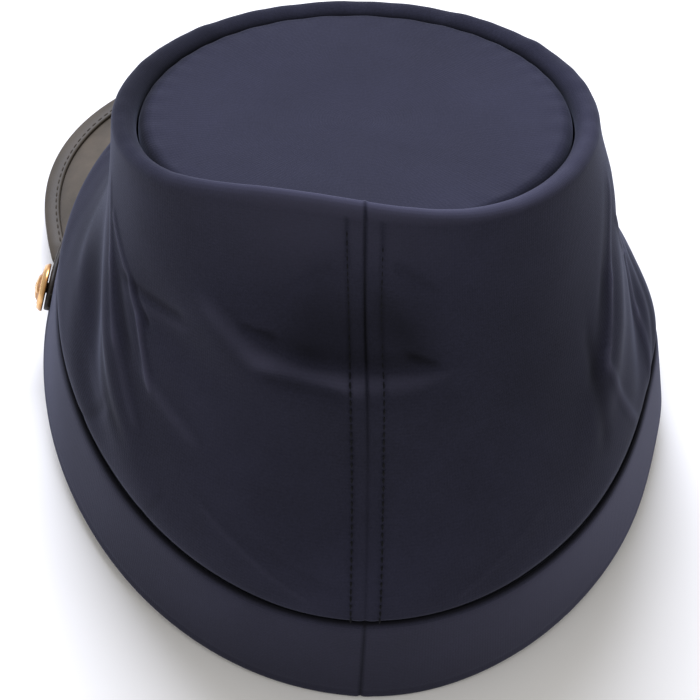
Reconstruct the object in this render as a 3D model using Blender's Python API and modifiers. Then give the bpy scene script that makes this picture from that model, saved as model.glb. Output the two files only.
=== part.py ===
"""Forage cap: a soft wool crown leaning forward to a small round top, a plain band,
a leather peak with a bound edge, and a chin strap held by two brass buttons.

Metres, +Z up. Each piece is drawn with the band's lower edge level, back at +Y, peak at -Y
and the wearer's left at +X. One empty then tips the whole cap onto its peak, as it rests.
Angles run round the band from the back seam (0) towards the wearer's left (+90).
"""
import math

import bmesh
import bpy
import numpy as np
from mathutils import Matrix, Vector

MM = 0.001
CAP_NAME = "forage_cap"

# Band and head opening
HALF_WIDTH = 92.0 * MM
HALF_LENGTH = 97.4 * MM
FRONT_WIDENING = 0.04
FRONT_DRIFT = 14.5 * MM
RIGHT_SWELL = 2.5 * MM
SWELL_ANGLE = math.radians(-93)
SWELL_SPREAD = math.radians(10)
BACK_FLARE = 1.2 * MM
FLARE_ANGLE = math.radians(-8)
FLARE_SPREAD = math.radians(22)
BAND_HEIGHT = 38.3 * MM
BAND_TAPER = 4.8 * MM
BAND_WALL = 2.0 * MM
GAP = 0.3 * MM

# Top of the crown and the rolled rim round it
TOP_SHIFT = 6.0 * MM
TOP_FORWARD = 29.6 * MM
TOP_HEIGHT = 115.7 * MM
TOP_TILT = math.radians(29.5)
TOP_LEAN = math.radians(1.5)
TOP_RADIUS = 61.9 * MM
TOP_SAG = 1.2 * MM
TOP_ROUNDING = 3.0 * MM
TOP_WALL = 1.6 * MM
RIM_WIDTH = 7.1 * MM
RIM_EDGE_DROP = 1.2 * MM
RIM_CREST = 1.6 * MM
RIM_BACK_RISE = 12.0 * MM
RIM_RISE_ANGLE = math.radians(14)
RIM_RISE_SPREAD = math.radians(38)
GROOVE_DEPTH = 2.6 * MM
SEAM_FLANGE = 2.6 * MM

# Crown wall
CROWN_WALL = 1.8 * MM
HEM_DEPTH = 5.0 * MM
UPRIGHT_SHARE = 0.6
FOLD_DEPTH = 5.0 * MM

# Crown wall's curve on each side: how far it rises from the band and flares out there, how far it
# falls straight from the rim, and how far it stands out below the rim, as shares of BAND_HEIGHT
CURVE_COLUMNS = ("side", "rise", "flare", "fall", "stand_out")
CURVES = (
    ("back", 0.37, 0.03, 1.44, 0.00),
    ("left", 0.31, 0.08, 1.36, 0.00),
    ("right", 0.37, 0.03, 1.36, 0.10),
    ("front", 0.26, 0.08, 0.57, 0.00),
)

# Main dents and ridges of the crown wall. Angle and lean in degrees, height as a share of the wall
# (0 at the band, 1 at the rim), half length and half width as shares of TOP_HEIGHT, and depth as a
# share of FOLD_DEPTH, inwards positive
FOLD_COLUMNS = ("fold", "angle", "height", "length", "width", "lean", "depth")
FOLDS = (
    ("back_hollow", 3, 0.81, 0.19, 0.11, 0, 1.00),
    ("back_ledge", 1, 0.67, 0.21, 0.07, 0, -0.45),
    ("ledge_end", 27, 0.73, 0.14, 0.06, 14, -0.30),
    ("left_dip", 47, 0.72, 0.15, 0.07, 20, 0.35),
    ("left_ridge", 67, 0.58, 0.32, 0.07, 63, -0.50),
    ("left_valley", 79, 0.50, 0.30, 0.08, 60, 0.60),
    ("low_hollow", -2, 0.40, 0.20, 0.14, 0, 0.45),
    ("right_ridge", -73, 0.60, 0.26, 0.07, -47, -0.45),
    ("right_valley", -88, 0.42, 0.22, 0.07, -58, 0.50),
    ("right_shoulder", -92, 0.88, 0.16, 0.10, 0, -0.60),
    ("front_slouch", 172, 0.45, 0.30, 0.12, 0, 0.50),
    ("front_fold", 140, 0.50, 0.20, 0.08, -35, 0.40),
    ("front_fold_right", -142, 0.50, 0.20, 0.08, 35, 0.35),
)

# Peak, strap and buttons count their angles from the peak's middle, which sits 3.5 degrees to the
# wearer's left of the point opposite the back seam
PEAK_MIDDLE = math.radians(176.5)
PEAK_HALF_ANGLE = math.radians(64.3)
PEAK_REACH = 31.7 * MM
PEAK_SQUARENESS = 4.0
PEAK_ROUNDNESS = 2.0
PEAK_SLOPE = math.radians(30)
PEAK_SIDE_RISE = math.radians(15)
PEAK_LEATHER = 1.8 * MM
PEAK_FLANGE = 6.5 * MM
PEAK_LEDGE = 0.8 * MM
BINDING_WIDTH = 5.0 * MM
BINDING_LEATHER = 1.0 * MM
BINDING_MARGIN = 0.6 * MM
BINDING_HALF_ANGLE = math.radians(60)

# Chin strap, slide and buttons
STRAP_WIDTH = 13.0 * MM
STRAP_LEATHER = 1.4 * MM
STRAP_HEIGHT = 12.0 * MM
BUTTON_ANGLE = math.radians(69.5)
BUTTON_RADIUS = 7.2 * MM
BUTTON_DOME = 2.2 * MM
BUTTON_EDGE = 0.7 * MM
BUTTON_RELIEF = 0.4 * MM
BUTTON_POINTS = 5
SHANK_RADIUS = 1.6 * MM
SHANK_HEAD = 3.2 * MM
SHANK_HEAD_THICKNESS = 0.8 * MM
SLIDE_ANGLE = math.radians(26)
SLIDE_LENGTH = 9.0 * MM
SLIDE_WALL = 1.1 * MM
SLIDE_CLEARANCE = 0.4 * MM
SLIDE_SEAT = 0.6

# Facets
AROUND_STEPS = 72
WALL_STEPS = 13
ROLL_STEPS = 4
TOP_STEPS = 48
PEAK_STEPS = 30
STRAP_STEPS = 36
BUTTON_STEPS = 20
SHANK_HOLE_SIDES = 16

NAVY = "1B1D33"
BLACK_LEATHER = "2A2622"
BRASS = "C9973F"


def new_collection(name):
    collection = bpy.data.collections.new(name)
    bpy.context.scene.collection.children.link(collection)
    return collection


def linear(channel):
    return channel / 12.92 if channel <= 0.04045 else ((channel + 0.055) / 1.055) ** 2.4


def finish_material(name, hex_colour, roughness, metallic=0.0):
    material = bpy.data.materials.new(name)
    material.use_nodes = True
    shader = material.node_tree.nodes["Principled BSDF"]
    rgb = [linear(int(hex_colour[i:i + 2], 16) / 255) for i in (0, 2, 4)]
    shader.inputs["Base Color"].default_value = (*rgb, 1.0)
    shader.inputs["Roughness"].default_value = roughness
    shader.inputs["Metallic"].default_value = metallic
    return material


def bump(distance, width):
    """1 at the middle, falling smoothly away with distance."""
    return np.exp(-(distance / width) ** 2)


def wrapped(angle):
    return (angle + np.pi) % (2 * np.pi) - np.pi


def ring_point(angle, inset, height):
    """Band outline: an ellipse, a little wider at the front, whose front drifts to the wearer's left
    and whose right side swells where the cloth stands out. Its back flares towards the lower edge.
    """
    front = -np.cos(angle)
    drift = FRONT_DRIFT * (0.5 * (1 + front)) ** 2
    drift = drift - RIGHT_SWELL * bump(wrapped(angle - SWELL_ANGLE), SWELL_SPREAD)
    x = (HALF_WIDTH - inset) * np.sin(angle) * (1 + FRONT_WIDENING * front) + drift
    y = (HALF_LENGTH - inset) * np.cos(angle)
    low = np.clip(1 - height / BAND_HEIGHT, 0, 1)
    y = y + BACK_FLARE * low * bump(wrapped(angle - FLARE_ANGLE), FLARE_SPREAD)
    return np.stack(np.broadcast_arrays(x, y, height), axis=-1)


def ring_outward(angle):
    """Level direction square to the band outline, pointing away from the head."""
    step = 1e-4
    along = ring_point(angle + step, 0.0, 0.0) - ring_point(angle - step, 0.0, 0.0)
    outward = np.stack([-along[..., 1], along[..., 0], np.zeros_like(along[..., 0])], axis=-1)
    return outward / np.linalg.norm(outward, axis=-1, keepdims=True)


def band_inset(height):
    """How far the band's outer face has leaned in at a height above its lower edge."""
    return BAND_TAPER * height / BAND_HEIGHT


def top_axes():
    """Side, back and upward directions of the crown's tilted top."""
    turn = Matrix.Rotation(TOP_LEAN, 3, "Y") @ Matrix.Rotation(TOP_TILT, 3, "X")
    return np.array(turn).T


def top_point(angle, radius, height):
    """Point of the crown's top, by its distance from the middle and height over its plane."""
    side, back, up = top_axes()
    middle = np.array([TOP_SHIFT, -TOP_FORWARD, TOP_HEIGHT])
    angle, radius, height = np.broadcast_arrays(angle, radius, height)
    flat = np.sin(angle)[..., None] * side + np.cos(angle)[..., None] * back
    return middle + radius[..., None] * flat + height[..., None] * up


def rim_rise(angle):
    """Extra height of the rim, where the cloth stands up behind the top."""
    return RIM_BACK_RISE * bump(wrapped(angle - RIM_RISE_ANGLE), RIM_RISE_SPREAD)


def curve_value(angle, column):
    """A column of CURVES blended round the crown by squared sine and cosine."""
    weights = {
        "back": np.clip(np.cos(angle), 0, 1) ** 2,
        "front": np.clip(-np.cos(angle), 0, 1) ** 2,
        "left": np.clip(np.sin(angle), 0, 1) ** 2,
        "right": np.clip(-np.sin(angle), 0, 1) ** 2,
    }
    place = CURVE_COLUMNS.index(column)
    return BAND_HEIGHT * sum(weights[row[0]] * row[place] for row in CURVES)


def fold_depth(angle, share):
    """Sum of the fold table's dents, each an oval hollow turned by its lean."""
    depth = np.zeros_like(angle)
    for row in FOLDS:
        fold = dict(zip(FOLD_COLUMNS, row))
        x = wrapped(angle - math.radians(fold["angle"])) * 0.5 * (HALF_WIDTH + TOP_RADIUS)
        y = (share - fold["height"]) * TOP_HEIGHT
        turn = math.radians(fold["lean"])
        along = x * math.cos(turn) + y * math.sin(turn)
        across = y * math.cos(turn) - x * math.sin(turn)
        hollow = bump(along, fold["length"] * TOP_HEIGHT) * bump(across, fold["width"] * TOP_HEIGHT)
        depth += fold["depth"] * FOLD_DEPTH * hollow
    return depth * np.sin(np.pi * np.clip(share, 0, 1)) ** 0.5


def smooth_wall(angle, share):
    """Cubic curve from the band's top edge up to the rolled rim, without the folds."""
    up = top_axes()[2]
    outward = ring_outward(angle)
    foot = ring_point(angle, BAND_TAPER + GAP, BAND_HEIGHT + 2 * GAP)
    head = top_point(angle, TOP_RADIUS + RIM_WIDTH, 0.85 * rim_rise(angle) - RIM_EDGE_DROP)
    lift = UPRIGHT_SHARE * np.array([0, 0, 1.0]) + (1 - UPRIGHT_SHARE) * up
    low = foot + lift * curve_value(angle, "rise")[..., None]
    low = low + outward * curve_value(angle, "flare")[..., None]
    high = head - up * curve_value(angle, "fall")[..., None]
    high = high + outward * curve_value(angle, "stand_out")[..., None]
    t = share[..., None]
    return (1 - t) ** 3 * foot + 3 * t * (1 - t) ** 2 * low + 3 * t ** 2 * (1 - t) * high + t ** 3 * head


def crown_wall(angle, share):
    """The smooth wall pushed in along its own normal by the fold table."""
    step = 1e-3
    around = smooth_wall(angle + step, share) - smooth_wall(angle - step, share)
    above, below = np.clip(share + step, 0, 1), np.clip(share - step, 0, 1)
    upward = smooth_wall(angle, above) - smooth_wall(angle, below)
    inward = np.cross(around, upward)
    inward /= np.linalg.norm(inward, axis=-1, keepdims=True)
    return smooth_wall(angle, share) + inward * fold_depth(angle, share)[..., None]


def rim_roll(angle, share):
    """Half turn of cloth from the wall's top (0), over the crest, down into the groove (1)."""
    radius = TOP_RADIUS + RIM_WIDTH * (0.5 + 0.5 * np.cos(np.pi * share))
    start = 0.85 * rim_rise(angle) - RIM_EDGE_DROP
    crest = RIM_CREST + rim_rise(angle)
    hump = crest - 0.5 * (start - GROOVE_DEPTH)
    height = start + (-GROOVE_DEPTH - start) * share + hump * np.sin(np.pi * share)
    return top_point(angle, radius, height)


def grid_faces(rows, columns, close_rows, close_columns):
    """Quads between neighbouring points of a grid, joined end to end where it closes."""
    faces = []
    for i in range(rows if close_rows else rows - 1):
        for j in range(columns if close_columns else columns - 1):
            i2, j2 = (i + 1) % rows, (j + 1) % columns
            faces.append((i * columns + j, i2 * columns + j, i2 * columns + j2, i * columns + j2))
    return faces


def grid_object(name, points, material, collection, close_rows=True, close_columns=False, caps=False):
    """Object from a grid of points, with its faces turned outwards."""
    rows, columns = points.shape[:2]
    faces = grid_faces(rows, columns, close_rows, close_columns)
    if caps:
        faces.append(tuple(range(columns)))
        faces.append(tuple((rows - 1) * columns + j for j in reversed(range(columns))))
    mesh = bpy.data.meshes.new(name)
    mesh.from_pydata([tuple(p) for p in points.reshape(-1, 3).tolist()], [], faces)
    work = bmesh.new()
    work.from_mesh(mesh)
    bmesh.ops.remove_doubles(work, verts=work.verts, dist=1e-6)
    bmesh.ops.recalc_face_normals(work, faces=work.faces)
    work.to_mesh(mesh)
    work.free()
    mesh.materials.append(material)
    item = bpy.data.objects.new(name, mesh)
    collection.objects.link(item)
    return item


def face_away(item, inside_point):
    """Turn an open surface so that its faces look away from a point inside the cap."""
    mesh = item.data
    votes = sum(face.area * face.normal.dot(face.center - inside_point) for face in mesh.polygons)
    if votes < 0:
        mesh.flip_normals()


def give_wall(item, thickness, offset=-1.0):
    wall = item.modifiers.new("cloth thickness", "SOLIDIFY")
    wall.thickness = thickness
    wall.offset = offset
    wall.use_even_offset = True
    wall.use_rim = True
    return item


def angles_round(count):
    return np.linspace(0, 2 * np.pi, count, endpoint=False)


def make_crown_side(material, collection):
    """Hem inside the band, wall, rolled rim and a flange down beside the top's edge."""
    angle = angles_round(AROUND_STEPS)[:, None]
    hem_inset = BAND_WALL + GAP
    hem = [
        ring_point(angle, band_inset(height) + hem_inset, height)
        for height in (BAND_HEIGHT - HEM_DEPTH, BAND_HEIGHT)
    ]
    ledge = ring_point(angle, BAND_TAPER + hem_inset, BAND_HEIGHT + GAP)
    grid_angle, wall_share = np.meshgrid(angle[:, 0], np.linspace(0, 1, WALL_STEPS + 1), indexing="ij")
    wall = crown_wall(grid_angle, wall_share)
    grid_angle, roll_share = np.meshgrid(angle[:, 0], np.linspace(0, 1, ROLL_STEPS + 1)[1:], indexing="ij")
    roll = rim_roll(grid_angle, roll_share)
    flange = top_point(angle, TOP_RADIUS, -GROOVE_DEPTH - SEAM_FLANGE)
    points = np.concatenate([*hem, ledge, wall, roll, flange], axis=1)
    item = grid_object("crown_side", points, material, collection)
    face_away(item, Vector((0, 0, BAND_HEIGHT)))
    return give_wall(item, CROWN_WALL)


def make_crown_top(material, collection):
    """Round cloth top, sagging a little, its edge turned down beside the rim's flange."""
    angle = angles_round(TOP_STEPS)[:, None]
    edge = TOP_RADIUS * math.cos(math.pi / AROUND_STEPS) - GAP
    profile = [(0.0, -TOP_SAG), (0.5 * edge, -0.6 * TOP_SAG)]
    for turn in np.linspace(0, 0.5 * np.pi, 3):
        profile.append((edge - TOP_ROUNDING * (1 - math.sin(turn)), -TOP_ROUNDING * (1 - math.cos(turn))))
    profile.append((edge, -max(GROOVE_DEPTH, TOP_ROUNDING) - SEAM_FLANGE))
    points = np.concatenate([top_point(angle, radius, height) for radius, height in profile], axis=1)
    item = grid_object("crown_top", points, material, collection)
    face_away(item, Vector((0, 0, BAND_HEIGHT)))
    return give_wall(item, TOP_WALL)


def make_band(material, collection):
    """Cloth ring with a flat lower edge, its walls leaning in towards the top."""
    angle = angles_round(AROUND_STEPS)[:, None]
    section = (
        (0.0, 0.0),
        (BAND_TAPER, BAND_HEIGHT),
        (BAND_TAPER + BAND_WALL, BAND_HEIGHT),
        (BAND_WALL, 0.0),
    )
    points = np.concatenate([ring_point(angle, inset, height) for inset, height in section], axis=1)
    return grid_object("band", points, material, collection, close_columns=True)


def peak_reach(angle):
    """Level reach of the peak beyond the band, by the angle from its middle."""
    share = np.clip(1 - np.abs(angle / PEAK_HALF_ANGLE) ** PEAK_SQUARENESS, 0, 1)
    return PEAK_LEDGE + PEAK_REACH * share ** PEAK_ROUNDNESS


def peak_slope(angle):
    """Fall of the leather, steepest in the middle."""
    return PEAK_SLOPE - PEAK_SIDE_RISE * (angle / PEAK_HALF_ANGLE) ** 2


def peak_point(angle, outward_distance, drop):
    """Point level with or below the band's lower edge, outside it by a distance."""
    around = PEAK_MIDDLE + angle
    place = ring_point(around, 0.0, 0.0) + ring_outward(around) * outward_distance[..., None]
    place[..., 2] -= drop
    return place


def peak_edge(angle):
    """Middle of the peak's outer edge, with its outward and upward directions there."""
    reach = peak_reach(angle)
    slope = peak_slope(angle)
    level = ring_outward(PEAK_MIDDLE + angle)
    up = np.array([0, 0, 1.0])
    outward = level * np.cos(slope)[..., None] - up * np.sin(slope)[..., None]
    normal = level * np.sin(slope)[..., None] + up * np.cos(slope)[..., None]
    start = GAP + 0.5 * PEAK_LEATHER
    return peak_point(angle, reach, start + (reach - PEAK_LEDGE) * np.tan(slope)), outward, normal


def make_peak(material, collection):
    """Crescent: a flange up inside the band, a bend under its edge, then the sloping leather."""
    angle = np.linspace(-PEAK_HALF_ANGLE, PEAK_HALF_ANGLE, PEAK_STEPS + 1)
    around = PEAK_MIDDLE + angle[:, None]
    half = 0.5 * PEAK_LEATHER
    inside = BAND_WALL + GAP + half
    below = GAP + half
    columns = [
        ring_point(around, band_inset(PEAK_FLANGE) + inside, PEAK_FLANGE),
        ring_point(around, inside, 0.0),
        ring_point(around, inside - 0.4 * below, -below),
    ]
    reach = peak_reach(angle)
    slope = peak_slope(angle)
    for share in (0.0, 0.33, 0.67, 1.0):
        distance = PEAK_LEDGE + (reach - PEAK_LEDGE) * share
        drop = below + (distance - PEAK_LEDGE) * np.tan(slope)
        columns.append(peak_point(angle, distance, drop)[:, None])
    points = np.concatenate(columns, axis=1)
    item = grid_object("peak", points, material, collection, close_rows=False)
    face_away(item, Vector((0, 0, -BAND_HEIGHT)))
    return give_wall(item, PEAK_LEATHER, offset=0.0)


def make_binding(material, collection):
    """Strip folded over the peak's edge: a U section carried round the crescent."""
    angle = np.linspace(-BINDING_HALF_ANGLE, BINDING_HALF_ANGLE, PEAK_STEPS + 1)
    place, outward, normal = peak_edge(angle)
    width = np.minimum(BINDING_WIDTH, peak_reach(angle) - PEAK_LEDGE - BINDING_MARGIN)
    near = 0.5 * PEAK_LEATHER + GAP
    far = near + BINDING_LEATHER
    tip = GAP + BINDING_LEATHER
    section = (
        (-width, near), (GAP, near), (GAP, -near), (-width, -near),
        (-width, -far), (0.4 * tip, -far), (tip, -0.5 * near),
        (tip, 0.5 * near), (0.4 * tip, far), (-width, far),
    )
    points = np.stack([
        place + outward * np.broadcast_to(u, angle.shape)[:, None] + normal * v for u, v in section
    ], axis=1)
    return grid_object(
        "peak_binding", points, material, collection, close_rows=False, close_columns=True, caps=True)


def wall_frame(angle, height):
    """Point on the band's outer face, by the angle from the peak's middle, with its outward normal."""
    around = PEAK_MIDDLE + angle
    place = ring_point(around, band_inset(height), height)
    lean = math.atan2(BAND_TAPER, BAND_HEIGHT)
    level, upright = ring_outward(around), np.array([0, 0, 1.0])
    normal = level * math.cos(lean) + upright * math.sin(lean)
    up = upright * math.cos(lean) - level * math.sin(lean)
    return place, normal, up


def strap_standoff(angle):
    """Gap behind the strap, which widens where the slide's back bar passes under it."""
    extra = SLIDE_WALL + SLIDE_CLEARANCE
    distance = np.abs(angle - SLIDE_ANGLE) * HALF_WIDTH
    ramp = np.clip((distance - SLIDE_SEAT * SLIDE_LENGTH) / SLIDE_LENGTH, 0, 1)
    return GAP + extra * (0.5 + 0.5 * np.cos(np.pi * ramp))


def make_strap(material, collection):
    """Leather strip along the band from button to button, with half round ends."""
    end_radius = 0.5 * STRAP_WIDTH
    even = np.linspace(-BUTTON_ANGLE, BUTTON_ANGLE, STRAP_STEPS + 1)
    ramp_steps = SLIDE_SEAT + np.array([0, 0.5, 1.0])
    slide_steps = np.concatenate([-ramp_steps[::-1], [0], ramp_steps])
    slide_part = SLIDE_ANGLE + slide_steps * SLIDE_LENGTH / HALF_WIDTH
    clear = (even < slide_part[0] - 0.01) | (even > slide_part[-1] + 0.01)
    end_part = BUTTON_ANGLE + np.sin(np.linspace(0.25, 1.4, 5)) * end_radius / HALF_WIDTH
    angle = np.sort(np.concatenate([-end_part, even[clear], slide_part, end_part]))
    beyond = np.clip((np.abs(angle) - BUTTON_ANGLE) * HALF_WIDTH / end_radius, 0, 1)
    half = end_radius * np.sqrt(1 - beyond ** 2)
    place, normal, up = wall_frame(angle, STRAP_HEIGHT)
    near = strap_standoff(angle)
    far = near + STRAP_LEATHER
    edge = 0.25 * STRAP_LEATHER
    section = (
        (-half, near), (-half, far - edge), (edge - half, far),
        (half - edge, far), (half, far - edge), (half, near),
    )
    points = np.stack([
        place + up * np.broadcast_to(u, angle.shape)[:, None] + normal * v[:, None] for u, v in section
    ], axis=1)
    return grid_object(
        "chin_strap", points, material, collection, close_rows=False, close_columns=True, caps=True)


def frame_matrix(angle, height):
    """Local axes on the band's face: X along the band, Y up it and Z out of it."""
    place, normal, up = (Vector(part) for part in wall_frame(np.array(angle), height))
    along = up.cross(normal)
    turn = Matrix((along, up, normal)).transposed().to_4x4()
    return Matrix.Translation(place) @ turn


def box_object(name, size, matrix, collection):
    mesh = bpy.data.meshes.new(name)
    work = bmesh.new()
    bmesh.ops.create_cube(work, size=1.0, matrix=matrix @ Matrix.Diagonal((*size, 1.0)))
    work.to_mesh(mesh)
    work.free()
    item = bpy.data.objects.new(name, mesh)
    collection.objects.link(item)
    return item


def hide_cutter(item):
    item.hide_render = True
    item.display_type = "WIRE"
    return item


def cut_with(item, cutter):
    cut = item.modifiers.new("cut by " + cutter.name, "BOOLEAN")
    cut.operation = "DIFFERENCE"
    cut.solver = "EXACT"
    cut.object = cutter


def make_slide(material, collection, cutters):
    """Plain brass loop round the strap: a bevelled block with a straight slot through it."""
    slot_depth = STRAP_LEATHER + 2 * SLIDE_CLEARANCE
    slot_height = STRAP_WIDTH + 2 * SLIDE_CLEARANCE
    middle = GAP + SLIDE_WALL + 0.5 * slot_depth
    seat = frame_matrix(SLIDE_ANGLE, STRAP_HEIGHT) @ Matrix.Translation((0, 0, middle))
    outer = (SLIDE_LENGTH, slot_height + 2 * SLIDE_WALL, slot_depth + 2 * SLIDE_WALL)
    item = box_object("strap_slide", outer, seat, collection)
    item.data.materials.append(material)
    rounding = item.modifiers.new("rounded edges", "BEVEL")
    rounding.width = 0.3 * SLIDE_WALL
    rounding.segments = 1
    slot = box_object("slide_slot", (2 * SLIDE_LENGTH, slot_height, slot_depth), seat, cutters)
    cut_with(item, hide_cutter(slot))
    return item


def button_height(radius_share, angle):
    """Dome with a rolled edge and a raised star in its middle."""
    dome = BUTTON_DOME * (1 - radius_share ** 2)
    edge = BUTTON_EDGE * bump(radius_share - 0.9, 0.09)
    reach = 0.62 - 0.27 * np.abs((angle * BUTTON_POINTS / np.pi) % 2 - 1)
    star = BUTTON_RELIEF * np.clip((reach - radius_share) / 0.14, 0, 1)
    return BUTTON_EDGE + dome + edge + star


def make_button(name, angle, material, collection):
    """Stamped head, a shank through strap and band, and a flat head inside the band."""
    seat = frame_matrix(angle, STRAP_HEIGHT)
    back = STRAP_LEATHER + 2 * GAP
    inside = -BAND_WALL - GAP
    turn = angles_round(BUTTON_STEPS)
    shares = (0.0, 0.25, 0.42, 0.62, 0.8, 0.9, 1.0)
    rings = [(share * BUTTON_RADIUS, back + button_height(share, turn)) for share in shares]
    profile = [
        (BUTTON_RADIUS, back), (SHANK_RADIUS, back), (SHANK_RADIUS, inside), (SHANK_HEAD, inside),
        (SHANK_HEAD, inside - SHANK_HEAD_THICKNESS), (0.0, inside - SHANK_HEAD_THICKNESS),
    ]
    columns = [
        np.stack(np.broadcast_arrays(radius * np.cos(turn), radius * np.sin(turn), height), axis=-1)
        for radius, height in rings + profile
    ]
    points = np.stack(columns, axis=1)
    turn_matrix = np.array(seat.to_3x3())
    points = points @ turn_matrix.T + np.array(seat.translation)
    return grid_object(name, points, material, collection)


def make_shank_hole(name, angle, cutters):
    """Clearance bore for a button's shank through strap and band."""
    seat = frame_matrix(angle, STRAP_HEIGHT)
    mesh = bpy.data.meshes.new(name)
    work = bmesh.new()
    radius = SHANK_RADIUS + GAP
    depth = 4 * (BAND_WALL + STRAP_LEATHER)
    bmesh.ops.create_cone(
        work, cap_ends=True, segments=SHANK_HOLE_SIDES, radius1=radius, radius2=radius,
        depth=depth, matrix=seat)
    work.to_mesh(mesh)
    work.free()
    item = bpy.data.objects.new(name, mesh)
    cutters.objects.link(item)
    return hide_cutter(item)


def world_points(items):
    """All corners of the pieces as they are drawn, before the cap is tipped."""
    bpy.context.view_layer.update()
    graph = bpy.context.evaluated_depsgraph_get()
    clouds = []
    for item in items:
        mesh = item.evaluated_get(graph).to_mesh()
        cloud = np.empty(3 * len(mesh.vertices))
        mesh.vertices.foreach_get("co", cloud)
        clouds.append(cloud.reshape(-1, 3))
    return np.concatenate(clouds)


def set_down(items, collection):
    """Tip the cap about the band's back edge until the peak meets the ground.

    The origin is then under the middle of the whole cap.
    """
    points = world_points(items)
    front = points[points[:, 1] < -0.5 * HALF_LENGTH]
    tip = np.arctan2(-front[:, 2], points[:, 1].max() - front[:, 1]).max()
    tipped = points @ np.array(Matrix.Rotation(-tip, 3, "X")).T
    low, high = tipped.min(axis=0), tipped.max(axis=0)
    rest = bpy.data.objects.new("cap_rest", None)
    collection.objects.link(rest)
    rest.rotation_euler = (-tip, 0, 0)
    rest.location = (-0.5 * (low[0] + high[0]), -0.5 * (low[1] + high[1]), -low[2])
    for item in items:
        item.parent = rest
    return rest


def main():
    for item in list(bpy.data.objects):
        bpy.data.objects.remove(item, do_unlink=True)
    cap = new_collection(CAP_NAME)
    cutters = new_collection(CAP_NAME + "_cutters")
    cloth = finish_material("navy wool cloth", NAVY, 0.9)
    leather = finish_material("black leather", BLACK_LEATHER, 0.42)
    brass = finish_material("brass", BRASS, 0.3, 1.0)

    crown = [make_crown_side(cloth, cap), make_crown_top(cloth, cap)]
    band = make_band(cloth, cap)
    peak = [make_peak(leather, cap), make_binding(leather, cap)]
    strap = make_strap(leather, cap)
    slide = make_slide(brass, cap, cutters)
    buttons = []
    for name, angle in (("button_left", -BUTTON_ANGLE), ("button_right", BUTTON_ANGLE)):
        buttons.append(make_button(name, angle, brass, cap))
        hole = make_shank_hole(name + "_bore", angle, cutters)
        cut_with(band, hole)
        cut_with(strap, hole)
    pieces = [*crown, band, *peak, strap, slide, *buttons]
    rest = set_down(pieces, cap)
    for cutter in cutters.objects:
        cutter.parent = rest


main()
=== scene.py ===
"""Looks of the forage cap: fine cloth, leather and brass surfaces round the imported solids.

Pieces are drawn with the band's lower edge level (back +Y, peak -Y, wearer's left +X), then
tipped onto the peak as the solids are. Angles run from the back seam (0) to the wearer's left.
"""
import math

import bmesh
import bpy
import numpy as np
from mathutils import Matrix, Vector


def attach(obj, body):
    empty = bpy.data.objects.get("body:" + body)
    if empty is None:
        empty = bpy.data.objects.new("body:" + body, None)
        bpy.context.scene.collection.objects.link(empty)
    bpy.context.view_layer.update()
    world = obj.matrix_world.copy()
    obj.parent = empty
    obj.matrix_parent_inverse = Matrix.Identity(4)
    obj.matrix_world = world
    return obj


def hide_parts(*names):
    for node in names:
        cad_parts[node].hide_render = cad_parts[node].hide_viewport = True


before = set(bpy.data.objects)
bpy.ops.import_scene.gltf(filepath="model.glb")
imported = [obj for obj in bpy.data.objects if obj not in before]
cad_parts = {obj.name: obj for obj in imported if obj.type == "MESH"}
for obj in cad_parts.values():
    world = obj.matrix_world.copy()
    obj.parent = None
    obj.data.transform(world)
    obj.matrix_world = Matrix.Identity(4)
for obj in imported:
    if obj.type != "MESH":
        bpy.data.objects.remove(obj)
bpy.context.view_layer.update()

MM = 0.001

# Rest place of the cap: tipped back onto its peak, then moved over the origin
REST_TIP = math.radians(5.45509)
REST_PLACE = np.array([-4.183, 17.291, 9.359]) * MM

# Band and head opening
HALF_WIDTH = 92.0 * MM
HALF_LENGTH = 97.4 * MM
FRONT_WIDENING = 0.04
FRONT_DRIFT = 14.5 * MM
RIGHT_SWELL = 2.5 * MM
SWELL_ANGLE = math.radians(-93)
SWELL_SPREAD = math.radians(10)
BACK_FLARE = 1.2 * MM
FLARE_ANGLE = math.radians(-8)
FLARE_SPREAD = math.radians(22)
BAND_HEIGHT = 38.3 * MM
BAND_TAPER = 4.8 * MM
BAND_WALL = 2.0 * MM
GAP = 0.3 * MM

# Top of the crown and its rolled rim
TOP_SHIFT = 6.0 * MM
TOP_FORWARD = 29.6 * MM
TOP_HEIGHT = 115.7 * MM
TOP_TILT = math.radians(29.5)
TOP_LEAN = math.radians(1.5)
TOP_RADIUS = 61.9 * MM
TOP_SAG = 1.2 * MM
TOP_ROUNDING = 3.0 * MM
TOP_WALL = 1.6 * MM
RIM_WIDTH = 7.1 * MM
RIM_EDGE_DROP = 1.2 * MM
RIM_CREST = 1.6 * MM
RIM_BACK_RISE = 12.0 * MM
RIM_RISE_ANGLE = math.radians(14)
RIM_RISE_SPREAD = math.radians(38)
RIM_FRONT_DROP = 1.3 * MM
RIM_FRONT_SPREAD = math.radians(65)
RIM_WALL_SHARE = 0.85
RIM_TUCK_OUT = 0.25 * MM
RIM_TUCK_UP = 0.35 * MM
TOP_GATHERS = 38
TOP_GATHER_DEPTH = 0.12 * MM
GROOVE_DEPTH = 2.6 * MM
SEAM_FLANGE = 2.6 * MM

# Crown wall
CROWN_WALL = 1.8 * MM
HEM_DEPTH = 5.0 * MM
UPRIGHT_SHARE = 0.6
FOLD_DEPTH = 5.0 * MM
CURVE_COLUMNS = ("side", "rise", "flare", "fall", "stand_out")
CURVES = (
    ("back", 0.37, 0.03, 1.44, 0.00),
    ("left", 0.31, 0.08, 1.36, 0.00),
    ("right", 0.37, 0.03, 1.36, 0.10),
    ("front", 0.26, 0.08, 0.57, 0.00),
)

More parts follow.
